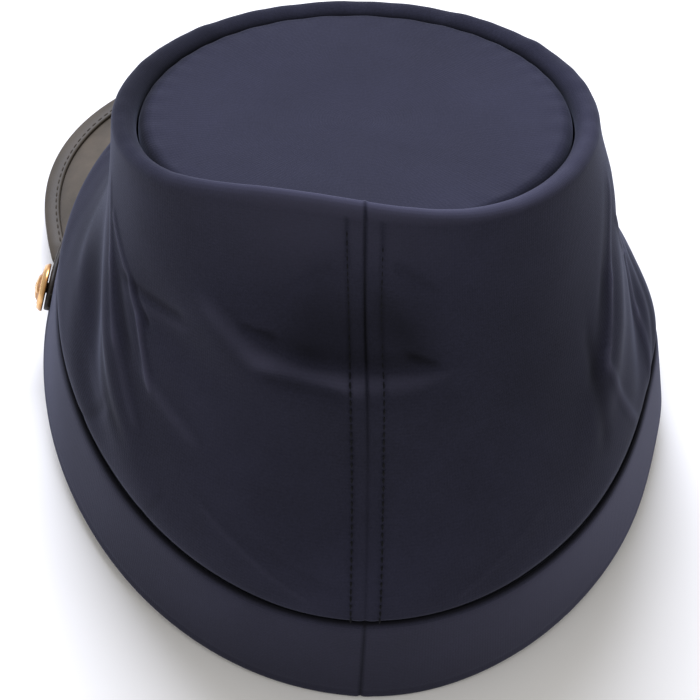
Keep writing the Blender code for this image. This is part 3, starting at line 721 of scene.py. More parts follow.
def wool_cloth(name, base, light, dark, paler, painted_shade):
    """Plain woven navy wool, milled and pressed: matt, with a faint nap that greys the edges.

    Threads lie about 0.8 mm apart, drawn a little coarser than real so that they show. A point attribute
    mixes in the paler colour, for rubbed nap and painted light, and the dark colour, for painted shade in
    creases, seams and hollows.
    """
    material, tree = new_material(name)
    coords = add_node(tree, "TexCoord")
    on_object = {"Vector": coords.outputs["Object"]}
    patches = add_node(tree, "TexNoise", None,
                       {"Scale": WOOL_PATCHES, "Detail": 4.0, "Roughness": 0.6}, on_object)
    cloud = add_node(tree, "ValToRGB", links={"Fac": patches.outputs["Fac"]},
                     stops=((0.30, dark), (0.52, base), (0.74, light)))
    fibres = add_node(tree, "TexNoise", None,
                      {"Scale": WOOL_FIBRES, "Detail": 3.0, "Roughness": 0.7}, on_object)
    flecks = add_node(tree, "ValToRGB", links={"Fac": fibres.outputs["Fac"]},
                      stops=((0.35, dark), (0.5, base), (0.68, light)))
    mixed = add_node(tree, "Mix", {"data_type": "RGBA"}, {0: 0.35},
                     {6: cloud.outputs["Color"], 7: flecks.outputs["Color"]})
    tone_shift = add_node(tree, "Attribute", {"attribute_name": "tone_shift"})
    tone = mixed.outputs[2]
    # The paler colour carries rubbed nap and painted light, the dark one painted shade
    for colour, least, most, share in ((paler, 0.05, 1.0, 0.85), (painted_shade, -0.05, -1.0, 0.9)):
        amount = add_node(tree, "MapRange", None, {"From Min": least, "From Max": most, "To Max": share},
                          {"Value": tone_shift.outputs["Fac"]})
        shade = add_node(tree, "Mix", {"data_type": "RGBA"}, {7: srgb(colour)},
                         {0: amount.outputs["Result"], 6: tone})
        tone = shade.outputs[2]
    waves = []
    for bands, scale in (("X", (WOOL_THREADS, 0, 0)), ("Y", (0, WOOL_THREADS, 0))):
        threads = add_node(tree, "Mapping", None, {"Scale": scale}, {"Vector": coords.outputs["UV"]})
        wave = add_node(tree, "TexWave", {"bands_direction": bands},
                        {"Scale": WAVE_SCALE, "Distortion": 0.6, "Detail": 1.0},
                        {"Vector": threads.outputs["Vector"]})
        waves.append(wave.outputs["Fac"])
    weave = add_node(tree, "Math", {"operation": "MULTIPLY"}, links={0: waves[0], 1: waves[1]})
    woven = add_node(tree, "Bump", None, {"Strength": 0.25, "Distance": 0.15 * MM},
                     {"Height": weave.outputs[0]})
    napped = add_node(tree, "Bump", None, {"Strength": 0.35, "Distance": 0.2 * MM},
                      {"Height": fibres.outputs["Fac"], "Normal": woven.outputs["Normal"]})
    shader = add_node(
        tree, "BsdfPrincipled", None,
        {"Roughness": 0.92, "IOR": 1.45, "Specular IOR Level": 0.15, "Sheen Weight": 0.16,
         "Sheen Roughness": 0.40, "Sheen Tint": srgb("B4B9D4")},
        {"Base Color": tone, "Normal": napped.outputs["Normal"]},
    )
    add_node(tree, "OutputMaterial", links={"Surface": shader.outputs["BSDF"]})
    return material


def black_leather(name, base, paler, roughness, grain_mm):
    """Black bridle leather, smooth finished: a fine pebble grain and slightly uneven gloss."""
    material, tree = new_material(name)
    on_object = {"Vector": add_node(tree, "TexCoord").outputs["Object"]}
    tone_shift = add_node(tree, "TexNoise", None,
                    {"Scale": LEATHER_PATCHES, "Detail": 5.0, "Roughness": 0.65}, on_object)
    colour = add_node(tree, "ValToRGB", links={"Fac": tone_shift.outputs["Fac"]},
                      stops=((0.35, base), (0.75, paler)))
    gloss = add_node(tree, "MapRange", None, {"To Min": roughness - 0.06, "To Max": roughness + 0.12},
                     {"Value": tone_shift.outputs["Fac"]})
    pebbles = add_node(tree, "TexVoronoi", {"feature": "SMOOTH_F1"},
                       {"Scale": 1 / (grain_mm * MM), "Smoothness": 0.4}, on_object)
    creases = add_node(tree, "TexNoise", None, {"Scale": LEATHER_CREASES, "Detail": 4.0}, on_object)
    grain = add_node(tree, "Bump", None, {"Strength": 0.25, "Distance": 0.1 * MM},
                     {"Height": pebbles.outputs["Distance"]})
    fine = add_node(tree, "Bump", None, {"Strength": 0.15, "Distance": 0.15 * MM},
                    {"Height": creases.outputs["Fac"], "Normal": grain.outputs["Normal"]})
    shader = add_node(
        tree, "BsdfPrincipled", None, {"IOR": 1.5, "Specular IOR Level": 0.30},
        {"Base Color": colour.outputs["Color"], "Roughness": gloss.outputs["Result"],
         "Normal": fine.outputs["Normal"]},
    )
    add_node(tree, "OutputMaterial", links={"Surface": shader.outputs["BSDF"]})
    return material


def stamped_brass(name):
    """Stamped brass, polished long ago: warm gold on the high parts, brown tarnish in the low ones."""
    material, tree = new_material(name)
    on_object = {"Vector": add_node(tree, "TexCoord").outputs["Object"]}
    tarnish = add_node(tree, "TexNoise", None,
                       {"Scale": BRASS_TARNISH, "Detail": 4.0, "Roughness": 0.6}, on_object)
    height = add_node(tree, "Attribute", {"attribute_name": "relief"})
    level = add_node(tree, "Math", {"operation": "MULTIPLY_ADD"}, {1: 0.45},
                     {0: tarnish.outputs["Fac"], 2: height.outputs["Fac"]})
    colour = add_node(tree, "ValToRGB", links={"Fac": level.outputs[0]},
                      stops=((0.20, "5A3B25"), (0.45, "AC7944"), (0.80, "E6BC86")))
    gloss = add_node(tree, "MapRange", None,
                     {"From Min": 0.2, "From Max": 0.9, "To Min": 0.50, "To Max": 0.24},
                     {"Value": level.outputs[0]})
    scratch = add_node(tree, "Bump", None, {"Strength": 0.12, "Distance": 0.1 * MM},
                       {"Height": tarnish.outputs["Fac"]})
    shader = add_node(
        tree, "BsdfPrincipled", None, {"Metallic": 1.0},
        {"Base Color": colour.outputs["Color"], "Roughness": gloss.outputs["Result"],
         "Normal": scratch.outputs["Normal"]},
    )
    add_node(tree, "OutputMaterial", links={"Surface": shader.outputs["BSDF"]})
    return material


def sewing_thread(name, low, high, roughness):
    """Twisted waxed cotton thread: a dull shine with a fine twist across each stitch."""
    material, tree = new_material(name)
    on_object = {"Vector": add_node(tree, "TexCoord").outputs["Object"]}
    twist = add_node(tree, "TexWave", {"bands_direction": "DIAGONAL"},
                     {"Scale": THREAD_TWIST, "Distortion": 1.0}, on_object)
    shade = add_node(tree, "Bump", None, {"Strength": 0.3, "Distance": 0.1 * MM},
                     {"Height": twist.outputs["Fac"]})
    tone = add_node(tree, "ValToRGB", links={"Fac": twist.outputs["Fac"]}, stops=((0.0, low), (1.0, high)))
    shader = add_node(tree, "BsdfPrincipled", None, {"Roughness": roughness, "Specular IOR Level": 0.2},
                      {"Base Color": tone.outputs["Color"], "Normal": shade.outputs["Normal"]})
    add_node(tree, "OutputMaterial", links={"Surface": shader.outputs["BSDF"]})
    return material


def studio_paper(name, colour):
    """Matt white studio paper."""
    material, tree = new_material(name)
    shader = add_node(tree, "BsdfPrincipled", None,
                      {"Base Color": srgb(colour), "Roughness": 0.95, "Specular IOR Level": 0.1})
    add_node(tree, "OutputMaterial", links={"Surface": shader.outputs["BSDF"]})
    return material


def spaced(runs):
    """Values from each run's start, in equal steps, up to the next run's start."""
    return np.concatenate([np.linspace(start, end, count, endpoint=False) for start, end, count in runs])


def lit_and_shaded_places(angle, places):
    """Sum over a table of places of their painted light or shade times a bell round the cap."""
    return sum(tone_shift * bump_round(angle, math.radians(middle), math.radians(spread))
               for middle, spread, tone_shift in places)


def painted_patch_shade(angle, share):
    """Sum over the patch table of painted shade times a bell of the angle times a bell of the height share.

    Both bells are taken of the distance to the power of the squareness.
    """
    turn = np.degrees(wrapped(angle))
    tone_shift = np.zeros_like(turn)
    for row in SHADED_WALL_PATCHES:
        patch = dict(zip(PATCH_COLUMNS, row))
        power = patch["squareness"]
        across = bump(np.abs(turn - patch["angle"]) ** power, patch["angle_spread"] ** power)
        upward = bump(np.abs(share - patch["height"]) ** power, patch["height_spread"] ** power)
        tone_shift += patch["tone_shift"] * across * upward
    return tone_shift


def standing_highlight(angle):
    """Bell curve of the painted highlight on the cloth that stands up behind the top."""
    return STANDING_HIGHLIGHT * bump_round(angle, STANDING_ANGLE, STANDING_SPREAD)


def crown_wear_and_shading(angle, share):
    """Paler on ridges by rubbed nap and painted highlight, and darker in creases by painted shade, by their
    depth; painted shade is darkest in the seam and at the tucked foot.

    The cloth that stands up behind the top gets a painted highlight, and the wall's patches of painted shade
    are added.
    """
    side = seam_distance(angle, share)
    folds = -(crease_depth(angle, share) + FOLD_SHARE * fold_depth(angle, share)) / MM
    seam = (SEAM_SHADE + PULLED_SEAM_SHADE * seam_pull(share)) * bump(side, 0.7 * SEAM_WIDTH)
    rows = ROW_SHADE * seam_pull(share) * bump(np.abs(side) - TOPSTITCH_OFFSET, ROW_WIDTH)
    foot_height = FOOT_TUCK_HEIGHT * (FOOT_SHADE_HEIGHT + FOOT_SHADE_SIDES * np.sin(angle) ** 2)
    foot = FOOT_SHADE * np.clip((foot_height - share * TOP_HEIGHT) / MM, 0, 1)
    standing = standing_highlight(angle) * np.clip((share - STANDING_START) / STANDING_RISE, 0, 1)
    tone_shift = CREASE_WEAR_AND_SHADING * folds + standing + painted_patch_shade(angle, share) - seam - rows - foot
    return np.clip(tone_shift, -1, 1)


def rim_light_and_shade(angle, share):
    """Painted highlight along the crest at the back, and painted shade on the crest at the left, in the seam
    and down in the groove.
    """
    crest = lit_and_shaded_places(angle, RIM_LIGHT_AND_SHADE) * np.sin(np.pi * share) + standing_highlight(angle) * (1 - share)
    seam = bump(rim_seam_distance(angle), 0.9 * SEAM_WIDTH) * (1 - share)
    return np.clip(crest - seam - share ** 5, -1, 1)


def make_crown_side(material):
    """Hem, ledge over the band, wall, rolled rim and flange, as one grid round the crown."""
    angle = np.radians(spaced(ANGLE_RUNS))[:, None]
    hem_inset = BAND_WALL + GAP
    hem_heights = (BAND_HEIGHT - HEM_DEPTH, BAND_HEIGHT)
    hem = [ring_point(angle, band_inset(z) + hem_inset, z) for z in hem_heights]
    ledge = ring_point(angle, BAND_TAPER + hem_inset, BAND_HEIGHT + GAP)
    wall_grid = np.meshgrid(angle[:, 0], np.append(spaced(SHARE_RUNS), 1.0), indexing="ij")
    roll_grid = np.meshgrid(angle[:, 0], np.linspace(0, 1, 17)[1:], indexing="ij")
    wall, roll = crown_wall(*wall_grid), rim_roll(*roll_grid)
    flange = top_point(angle, TOP_RADIUS, -GROOVE_DEPTH - SEAM_FLANGE)
    points = np.concatenate([*hem, ledge, wall, roll, flange], axis=1)
    # Painted shade on the hem, the ledge over the band and the flange
    painted_shade = np.full((len(angle), 1), -1.0)
    tone_shift = [painted_shade, painted_shade, painted_shade, crown_wear_and_shading(*wall_grid), rim_light_and_shade(*roll_grid), painted_shade]
    piece = grid_piece("crown_cloth", points, material, marks=("tone_shift", np.concatenate(tone_shift, axis=1)))
    face_away(piece, rest(np.array([0, 0, BAND_HEIGHT])))
    return give_wall(piece, CROWN_WALL)


def make_crown_top(material):
    """Polar grid: a sagging disc with shallow flat waves and small gathers at its turned-down edge.

    It gets painted light, a little paler than plain cloth, and falls evenly to the painted shade of its edge.
    """
    edge = TOP_RADIUS - 2 * GAP
    angle = np.linspace(0, 2 * np.pi, 320, endpoint=False)[:, None]
    flat = np.concatenate([[0.0], np.linspace(0.02, 1, 60)])[None, :] * (edge - TOP_ROUNDING)
    share = flat / edge
    wave = flat_slack(flat * np.sin(angle), flat * np.cos(angle), *TOP_SLACK) * (1 - share ** 6)
    gather = TOP_GATHER_DEPTH * np.sin(TOP_GATHERS * angle + 3 * np.sin(3 * angle)) * bump(share - 0.95, 0.06)
    height = -TOP_SAG * np.cos(0.5 * np.pi * share) ** 2 + wave + gather
    disc = top_point(angle, flat, height)
    turn = np.linspace(0, 0.5 * np.pi, 9)[None, 1:]
    fade = np.cos(turn) * (wave + gather)[:, -1:]
    bend_radius = edge - TOP_ROUNDING * (1 - np.sin(turn))
    bend = top_point(angle, bend_radius, fade - TOP_ROUNDING * (1 - np.cos(turn)))
    flange = top_point(angle, edge, -max(GROOVE_DEPTH, TOP_ROUNDING) - SEAM_FLANGE)
    points = np.concatenate([disc, bend, flange], axis=1)
    reach = path_lengths(points[0], 0)[None, :] / edge
    # Painted shade at the top's edge, heaviest on the left, below the painted light of the rest
    painted_shade = TOP_EDGE_SHADE + lit_and_shaded_places(angle, TOP_EDGE_SHADED)
    tone_shift = TOP_PAINTED_LIGHT - (painted_shade + TOP_PAINTED_LIGHT) * np.clip((reach - TOP_EDGE_START) / TOP_EDGE_RISE, 0, 1)
    piece = grid_piece("crown_top_cloth", points, material, merge=True, marks=("tone_shift", tone_shift))
    face_away(piece, rest(np.array([0, 0, BAND_HEIGHT])))
    return give_wall(piece, TOP_WALL)


def band_section():
    """Closed outline of the band's wall, as depth behind its outer face and height, with round folds."""
    half = 0.5 * BAND_WALL
    turn = np.linspace(0, np.pi, 9)[1:-1]
    height = np.linspace(half, BAND_HEIGHT - half, 34)
    outer = [(0.0, z) for z in height]
    over = [(half - half * math.cos(t), BAND_HEIGHT - half + half * math.sin(t)) for t in turn]
    inner = [(BAND_WALL, z) for z in height[::-1]]
    under = [(half + half * math.cos(t), half - half * math.sin(t)) for t in turn]
    return outer + over + inner + under


def make_band(material):
    """The wall's outline carried round the head ring, with a seam at the back and slight slack."""
    angle = np.radians(spaced(ANGLE_RUNS))[:, None]
    side = wrapped(angle) * HALF_LENGTH
    seam = BAND_SEAM_DEPTH * bump(side, SEAM_WIDTH)
    groove = seam - BAND_SWELL * bump(np.abs(side) - BAND_SWELL_PLACE, BAND_SWELL_WIDTH)
    section = band_section()
    columns = []
    for depth, height in section:
        middle = math.sin(np.pi * height / BAND_HEIGHT) ** 0.5 if 0 < height < BAND_HEIGHT else 0.0
        waves = 0.12 * MM * np.sin(7 * angle + 1.3 + 40 * height)
        waves = waves + 0.10 * MM * np.sin(13 * angle - 55 * height)
        is_outer = depth < 0.6 * BAND_WALL
        inset = band_inset(height) + depth
        if is_outer:
            inset += BAND_FOLD * bump(BAND_HEIGHT - height, BAND_FOLD_HEIGHT)
            inset += HEM_LINE_DEPTH * bump(height - HEM_LINE_HEIGHT, HEM_LINE_WIDTH)
        seam_share = 1.0 if is_outer else -0.3
        columns.append(ring_point(angle, inset + middle * waves + seam_share * groove, height))
    points = np.concatenate(columns, axis=1)
    height = np.array([z for depth, z in section])
    # Painted shade at the top edge under the crown and in the seam, painted light elsewhere, more on the
    # right
    from_edge = BAND_HEIGHT - height
    edge = np.where(from_edge < BAND_EDGE_HEIGHT, bump(from_edge, BAND_EDGE_HEIGHT), 0.0)[None, :]
    band_light = BAND_PAINTED_LIGHT + lit_and_shaded_places(angle, BAND_LIT_PLACES)
    tone_shift = band_light - edge * (1 + band_light) - BAND_SEAM_SHADE * bump(side, SEAM_WIDTH)
    return grid_piece("band_cloth", points, material, close_columns=True, merge=True, marks=("tone_shift", tone_shift))


def peak_reach(angle):
    """Ledge plus a squarish arch: one less a power of the angle share, to the roundness power."""
    share = np.clip(1 - np.abs(angle / PEAK_HALF_ANGLE) ** PEAK_SQUARENESS, 0, 1)
    return PEAK_LEDGE + PEAK_REACH * share ** PEAK_ROUNDNESS


def peak_slope(angle):
    """Slope in the middle, less a part that grows with the squared angle share."""
    return PEAK_SLOPE - PEAK_SIDE_RISE * (angle / PEAK_HALF_ANGLE) ** 2


def peak_point(angle, outward_distance, drop):
    """The ring's lower edge moved out along its normal and down."""
    around = PEAK_MIDDLE + angle
    point = ring_point(around, 0.0, 0.0) + ring_outward(around) * outward_distance[..., None]
    point[..., 2] -= drop
    return point


def peak_edge(angle):
    """Middle of the peak's edge with its outward and upward directions."""
    reach, slope = peak_reach(angle), peak_slope(angle)
    level = ring_outward(PEAK_MIDDLE + angle)
    up = np.array([0, 0, 1.0])
    outward = level * np.cos(slope)[..., None] - up * np.sin(slope)[..., None]
    normal = level * np.sin(slope)[..., None] + up * np.cos(slope)[..., None]
    start = GAP + 0.5 * PEAK_LEATHER
    return peak_point(angle, reach, start + (reach - PEAK_LEDGE) * np.tan(slope)), outward, normal


def make_peak(material):
    """Flange, rounded bend under the band, then the leather falling outwards along its slope."""
    angle = np.linspace(-PEAK_HALF_ANGLE, PEAK_HALF_ANGLE, 220)
    around = PEAK_MIDDLE + angle[:, None]
    half = 0.5 * PEAK_LEATHER
    inside, below = BAND_WALL + GAP + half, GAP + half
    flange_heights = np.linspace(PEAK_FLANGE, 0, 6)
    columns = [ring_point(around, band_inset(z) + inside, z) for z in flange_heights]
    columns.append(ring_point(around, inside - 0.4 * below, -below))
    reach, slope = peak_reach(angle), peak_slope(angle)
    for share in np.linspace(0, 1, 44):
        distance = PEAK_LEDGE + (reach - PEAK_LEDGE) * share
        swell = PEAK_SWELL * np.sin(np.pi * share) * np.cos(0.5 * np.pi * angle / PEAK_HALF_ANGLE)
        ripple = PEAK_RIPPLE * np.sin(6 * angle + 5 * share) * np.sin(np.pi * share)
        drop = below + (distance - PEAK_LEDGE) * np.tan(slope) - swell - ripple
        columns.append(peak_point(angle, distance, drop)[:, None])
    points = np.concatenate(columns, axis=1)
    piece = grid_piece("peak_leather", points, material, close_rows=False)
    face_away(piece, rest(np.array([0, 0, -BAND_HEIGHT])))
    return give_wall(piece, PEAK_LEATHER, offset=0.0)


def binding_width(angle):
    """The binding's width, or what the peak's reach leaves for it near its ends."""
    return np.minimum(BINDING_WIDTH, peak_reach(angle) - PEAK_LEDGE - BINDING_MARGIN)


def make_binding(material):
    """A U section, round at the fold, carried along the peak's edge.

    Its ends are skived thin: the leather grows by a square root over the skive angle.
    """
    angle = np.linspace(-BINDING_HALF_ANGLE, BINDING_HALF_ANGLE, 240)
    middle, outward, normal = peak_edge(angle)
    width = binding_width(angle)
    near = 0.5 * PEAK_LEATHER + GAP
    far = near + BINDING_LEATHER
    tip = GAP + BINDING_LEATHER
    turn = np.linspace(-0.5 * np.pi, 0.5 * np.pi, 13)
    nose = [(0.1 * tip + 0.9 * tip * math.cos(t), far * math.sin(t)) for t in turn]
    soft = 0.35 * BINDING_LEATHER
    under = [(-width, -near), (-width, -far + soft), (-width + soft, -far)]
    over = [(-width + soft, far), (-width, far - soft), (-width, near)]
    section = [(GAP, near), (GAP, -near), *under, *nose, *over]
    skive = 0.15 + 0.85 * np.sqrt(np.clip((BINDING_HALF_ANGLE - np.abs(angle)) / BINDING_SKIVE, 0, 1))
    points = []
    for u, v in section:
        u = np.broadcast_to(u, angle.shape)
        out = np.where(u > GAP, GAP + (u - GAP) * skive, u)
        face = math.copysign(near, v)
        up = np.where(abs(v) > near, face + (v - face) * skive, v)
        points.append(middle + outward * out[:, None] + normal * up[:, None])
    points = np.stack(points, axis=1)
    return grid_piece("binding_leather", points, material, close_rows=False, close_columns=True, caps=True)


def wall_frame(angle, height):
    """Point on the band's outer face by the angle from the peak's middle, with its normal and slope."""
    around = PEAK_MIDDLE + angle
    point = ring_point(around, band_inset(height), height)
    lean = math.atan2(BAND_TAPER, BAND_HEIGHT)
    level, upright = ring_outward(around), np.array([0, 0, 1.0])
    normal = level * math.cos(lean) + upright * math.sin(lean)
    up = upright * math.cos(lean) - level * math.sin(lean)
    return point, normal, up


def strap_standoff(angle):
    """Gap behind the strap, raised by a cosine ramp where the slide's back bar passes."""
    extra = SLIDE_WALL + SLIDE_CLEARANCE
    distance = np.abs(angle - SLIDE_ANGLE) * HALF_WIDTH
    ramp = np.clip((distance - SLIDE_SEAT * SLIDE_LENGTH) / SLIDE_LENGTH, 0, 1)
    return GAP + extra * (0.5 + 0.5 * np.cos(np.pi * ramp))


def strap_half_width(angle):
    """Half the strap's width, falling as a half circle beyond the buttons."""
    radius = 0.5 * STRAP_WIDTH
    beyond = np.clip((np.abs(angle) - BUTTON_ANGLE) * HALF_WIDTH / radius, 0, 1)
    return radius * np.sqrt(1 - beyond ** 2)


def make_strap(material):
    """Rounded strip section with a creased line near each edge, carried from button to button."""
    radius = 0.5 * STRAP_WIDTH
    end = BUTTON_ANGLE + np.sin(np.linspace(0, 1.5, 12)) * radius / HALF_WIDTH
    angle = np.concatenate([-end[::-1], np.linspace(-BUTTON_ANGLE, BUTTON_ANGLE, 300)[1:-1], end])
    half = strap_half_width(angle)
    point, normal, up = wall_frame(angle, STRAP_HEIGHT)
    near = strap_standoff(angle) - STRAP_SEAT
    thick = STRAP_LEATHER + STRAP_SEAT
    face = []
    for share in np.linspace(-1, 1, 41):
        crease = STRAP_LINE_DEPTH * bump(abs(share) - STRAP_LINE_PLACE, STRAP_LINE_WIDTH)
        shoulder = 0.35 * thick * max(0.0, (abs(share) - STRAP_SHOULDER) / (1 - STRAP_SHOULDER)) ** 2
        face.append((share * half, near + thick - shoulder - crease))
    section = [(-half, near), *face, (half, near)]
    points = np.stack([point + up * u[:, None] + normal * v[:, None] for u, v in section], axis=1)
    return grid_piece("strap_leather", points, material, close_rows=False, close_columns=True, caps=True)


def make_slide(material):
    """Rounded brass bar section carried round a rounded rectangle that encloses the strap."""
    depth = 0.5 * (STRAP_LEATHER + 2 * SLIDE_CLEARANCE + SLIDE_WALL)
    tall = 0.5 * (STRAP_WIDTH + 2 * SLIDE_CLEARANCE + SLIDE_WALL)
    path, outward = [], []
    for quarter, (sy, sz) in enumerate(((1, 1), (-1, 1), (-1, -1), (1, -1))):
        for t in np.linspace(0, 0.5 * np.pi, 7) + 0.5 * np.pi * quarter:
            direction = np.array([math.cos(t), math.sin(t)])
            middle = np.array([sy * (tall - SLIDE_CORNER), sz * (depth - SLIDE_CORNER)])
            path.append(middle + SLIDE_CORNER * direction)
            outward.append(direction)
    path, outward = np.array(path), np.array(outward)
    turn = np.linspace(0, 2 * np.pi, 24, endpoint=False)
    along = 0.5 * SLIDE_LENGTH * np.sign(np.cos(turn)) * np.abs(np.cos(turn)) ** 0.35
    out = 0.5 * SLIDE_WALL * np.sign(np.sin(turn)) * np.abs(np.sin(turn)) ** 0.6
    local = path[:, None, :] + outward[:, None, :] * out[None, :, None]
    point, normal, up = wall_frame(np.array(SLIDE_ANGLE), STRAP_HEIGHT)
    side = np.cross(up, normal)
    standoff = GAP + SLIDE_WALL + 0.5 * (STRAP_LEATHER + 2 * SLIDE_CLEARANCE)
    points = point + side * along[None, :, None] + up * local[..., :1] + normal * (standoff + local[..., 1:])
    return grid_piece("slide_brass", points, material, close_columns=True, merge=True, marks=("relief", 0.55))


def button_height(radius_share, angle):
    """Dome, rolled edge, ring of small beads and a raised star, added together."""
    dome = BUTTON_DOME * (1 - radius_share ** 2)
    edge = BUTTON_EDGE * bump(radius_share - 0.9, 0.09)
    inside = STAR_REACH - STAR_NOTCH * np.abs((angle * BUTTON_POINTS / np.pi) % 2 - 1) - radius_share
    star = BUTTON_RELIEF * np.clip(inside / 0.10, 0, 1)
    ridge = STAR_RIDGE * bump(np.sin(0.5 * BUTTON_POINTS * angle), 0.25) * np.clip(inside / 0.3, 0, 1)
    beads = BEAD_HEIGHT * bump(radius_share - BEAD_RING, 0.05) * (0.5 + 0.5 * np.cos(BEADS * angle))
    return BUTTON_EDGE + dome + edge + star + ridge + beads, (star + ridge + beads + edge) / BUTTON_EDGE


def make_button(name, angle, material):
    """Polar grid for the stamped head, then the shank and the flat head inside the band."""
    point, normal, up = wall_frame(np.array(angle), STRAP_HEIGHT)
    side = np.cross(up, normal)
    back = STRAP_LEATHER + 2 * GAP
    inside = -BAND_WALL - GAP
    turn = np.linspace(0, 2 * np.pi, 130, endpoint=False)[:, None]
    share = np.linspace(0, 1, 56)[None, :]
    height, relief = button_height(share, turn)
    head = (np.broadcast_to(share * BUTTON_RADIUS, height.shape), back + height)
    profile = [(1.02 * BUTTON_RADIUS, back + 0.6 * BUTTON_EDGE), (BUTTON_RADIUS, back), (SHANK_RADIUS, back),
               (SHANK_RADIUS, inside), (SHANK_HEAD, inside), (SHANK_HEAD, inside - SHANK_HEAD_THICKNESS),
               (0.0, inside - SHANK_HEAD_THICKNESS)]
    radius = np.concatenate([head[0], np.tile([p[0] for p in profile], (len(turn), 1))], axis=1)
    level = np.concatenate([head[1], np.tile([p[1] for p in profile], (len(turn), 1))], axis=1)
    points = point + (radius * np.cos(turn))[..., None] * side + (radius * np.sin(turn))[..., None] * up
    points = points + level[..., None] * normal
    low = np.full((len(turn), len(profile)), 0.25)
    marks = ("relief", np.concatenate([0.2 + 0.6 * relief, low], axis=1))
    return grid_piece(name, points, material, merge=True, marks=marks)


def stitches(name, centres, directions, lifts, length, radius, material):
    """One small spindle for each stitch: circles along its direction, whose radius swells by a sine."""
    count = len(centres)
    sides = np.cross(directions, lifts)
    turn = np.linspace(0, 2 * np.pi, 6, endpoint=False)
    along = np.linspace(-0.5, 0.5, 7)
    swell = radius * np.cos(np.pi * along * 0.96) ** 0.5
    dip = -0.5 * radius * (2 * along) ** 4
    ring = np.cos(turn)[:, None] * sides[:, None, :] + np.sin(turn)[:, None] * lifts[:, None, :]
    spine = directions[:, None, :] * (along * length)[:, None] + lifts[:, None, :] * dip[:, None]
    spine = centres[:, None, :] + spine
    points = spine[:, :, None, :] + ring[:, None, :, :] * swell[:, None, None]
    rows, columns = len(along), len(turn)
    i, j = np.meshgrid(np.arange(rows - 1), np.arange(columns), indexing="ij")
    i, j = i.ravel(), j.ravel()
    corners = ((i, j), (i, j + 1), (i + 1, j + 1), (i + 1, j))
    quad = np.stack([a * columns + b % columns for a, b in corners], axis=1)
    quads = (np.arange(count)[:, None, None] * rows * columns + quad[None]).reshape(-1, 4)
    mesh = mesh_from_arrays(name, rest(points.reshape(-1, 3)), quads)
    work = bmesh.new()
    work.from_mesh(mesh)
    bmesh.ops.holes_fill(work, edges=[e for e in work.edges if e.is_boundary], sides=columns)
    bmesh.ops.recalc_face_normals(work, faces=work.faces)
    work.to_mesh(mesh)
    work.free()
    return place(name, mesh, material)


def make_topstitching(material):
    """Two rows of stitches up the crown, each at the topstitch offset from the turned back seam.

    Where the seam's threads pull less, the stitches sink further into the cloth.
    """
    centres, directions, lifts = [], [], []
    share = np.linspace(0.02, 0.985, 400)
    for side in (-1, 1):
        line = crown_wall(seam_angle(share) + side * TOPSTITCH_OFFSET / wall_radius(share), share)
        run = path_lengths(line, 0)
        at = np.arange(0.5 * STITCH_PITCH, run[-1], STITCH_PITCH)
        middle, ahead = (np.stack([np.interp(at + step, run, line[:, k]) for k in range(3)], axis=1)
                         for step in (0, THREAD_STEP))
        direction = unit(ahead - middle)
        lift = unit(np.cross([1.0, 0, 0], direction))
        rise = 0.6 * THREAD_RADIUS - THREAD_SINK * (1 - seam_pull(np.interp(at, run, share)))
        centres.append(middle + lift * rise[:, None])
        directions.append(direction)
        lifts.append(lift)
    return stitches("seam_topstitching", np.concatenate(centres), np.concatenate(directions),
                    np.concatenate(lifts), STITCH_LENGTH, THREAD_RADIUS, material)


def make_binding_stitches(material):
    """A row of stitches along the binding, a little outside its inner edge."""
    end = BINDING_HALF_ANGLE - BINDING_SKIVE
    angle = np.linspace(-end, end, 1200)
    middle, outward, normal = peak_edge(angle)
    face = 0.5 * PEAK_LEATHER + GAP + BINDING_LEATHER
    line = middle + outward * (BINDING_STITCH_INSET - binding_width(angle))[:, None] + normal * face
    run = path_lengths(line, 0)
    spot = np.searchsorted(run, np.arange(STITCH_PITCH, run[-1] - STITCH_PITCH, STITCH_PITCH))
    direction = unit(line[spot] - line[spot - 1])
    lift = normal[spot]
    return stitches("binding_stitching", line[spot] + 0.2 * THREAD_RADIUS * lift, direction, lift,
                    STITCH_LENGTH, 0.8 * THREAD_RADIUS, material)


def area_light(name, location, aim, size, power, colour):
    """Soft rectangular light that looks from its place towards its aim."""
    data = bpy.data.lights.new(name, "AREA")
    data.shape = "RECTANGLE"
    data.size, data.size_y = size
    data.energy = power
    data.color = srgb(colour)[:3]
    lamp = bpy.data.objects.new(name, data)
    lamp.location = location
    lamp.rotation_euler = (Vector(aim) - Vector(location)).to_track_quat("-Z", "Y").to_euler()
    bpy.context.scene.collection.objects.link(lamp)


def make_stage():
    """White floor and surroundings, and one broad soft light above and in front of the cap."""
    corners = FLOOR_HALF * np.array([[-1, -1, 0], [1, -1, 0], [1, 1, 0], [-1, 1, 0]])
    sheet = mesh_from_arrays("floor", corners, np.array([[0, 1, 2, 3]]))
    floor = place("floor", sheet, studio_paper("white paper", "FFFCF8"))
    world = bpy.data.worlds.new("white studio")
    bpy.context.scene.world = world
    world.use_nodes = True
    background = world.node_tree.nodes["Background"]
    background.inputs["Color"].default_value = srgb("FFFFFF")
    background.inputs["Strength"].default_value = SURROUNDINGS
    area_light("window light", WINDOW_PLACE, WINDOW_AIM, WINDOW_SIZE, WINDOW_POWER, "E6ECFF")
    bpy.context.scene.view_settings.view_transform = "Standard"


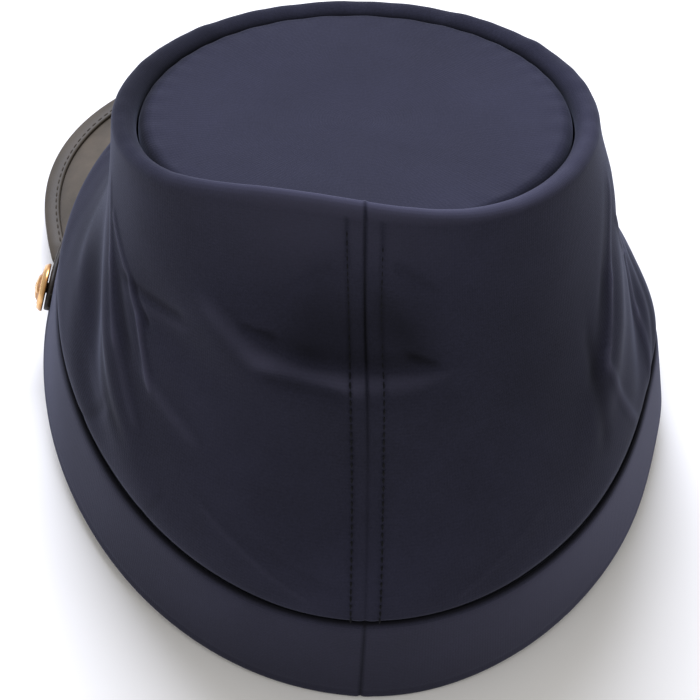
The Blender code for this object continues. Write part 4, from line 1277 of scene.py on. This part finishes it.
def make_camera():
    """Camera from the fitted azimuth, elevation and roll, tipped with the cap into the rest frame."""
    az, el, roll = VIEW_AZIMUTH, VIEW_ELEVATION, VIEW_ROLL
    back = np.array([math.sin(az) * math.cos(el), -math.cos(az) * math.cos(el), math.sin(el)])
    right = unit(np.cross(-back, [0, 0, 1.0]))
    up = np.cross(right, -back)
    right, up = right * math.cos(roll) + up * math.sin(roll), up * math.cos(roll) - right * math.sin(roll)
    place_now = rest(VIEW_AIM + back * VIEW_DISTANCE)
    turn = rest(np.stack([right, up, back])) - REST_PLACE
    data = bpy.data.cameras.new("camera")
    data.lens = LENS
    data.sensor_width = SENSOR
    camera = bpy.data.objects.new("camera", data)
    bpy.context.scene.collection.objects.link(camera)
    matrix = np.eye(4)
    matrix[:3, :3] = turn.T
    matrix[:3, 3] = place_now
    camera.matrix_world = Matrix(matrix.tolist())
    bpy.context.scene.camera = camera


def main():
    """Camera and studio, the materials, the eleven pieces attached to the root, and the solids that nine of
    them stand for hidden.
    """
    make_camera()
    make_stage()
    crown_wool = wool_cloth("navy wool cloth", "22222F", "2B2B3B", "191923", "444354", "06060A")
    # The peak's and binding's base colours are raised to a warm grey, a painted reflection of the bright
    # surroundings
    leather = black_leather("black leather with painted reflection, peak", "3E372D", "5A4F42", 0.52, 0.7)
    edge_leather = black_leather("black leather with painted reflection, binding", "3D362D", "50473C", 0.52, 0.6)
    strap_hide = black_leather("black strap leather", "2A2521", "3B342D", 0.44, 0.6)
    brass = stamped_brass("stamped brass")
    navy_thread = sewing_thread("navy cotton thread", "050509", "0B0C13", 0.85)
    black_thread = sewing_thread("dark waxed thread", "352E26", "453D33", 0.7)

    crown = make_crown_side(crown_wool)
    top = make_crown_top(crown_wool)
    band = make_band(crown_wool)
    peak = make_peak(leather)
    binding = make_binding(edge_leather)
    strap = make_strap(strap_hide)
    slide = make_slide(brass)
    left = make_button("left_button_brass", -BUTTON_ANGLE, brass)
    right = make_button("right_button_brass", BUTTON_ANGLE, brass)
    topstitching = make_topstitching(navy_thread)
    binding_stitching = make_binding_stitches(black_thread)

    standing_for = (
        (crown, "crown_side", "navy_wool"), (top, "crown_top", "navy_wool"), (band, "band", "navy_wool"),
        (peak, "peak", "black_leather"), (binding, "peak_binding", "black_leather"),
        (strap, "chin_strap", "black_leather"), (slide, "strap_slide", "brass"),
        (left, "button_left", "brass"), (right, "button_right", "brass"),
    )
    for piece, node, slot in standing_for:
        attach(piece, "root")
        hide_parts(node)
    for piece, slot in ((topstitching, "navy_wool"), (binding_stitching, "black_leather")):
        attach(piece, "root")


main()
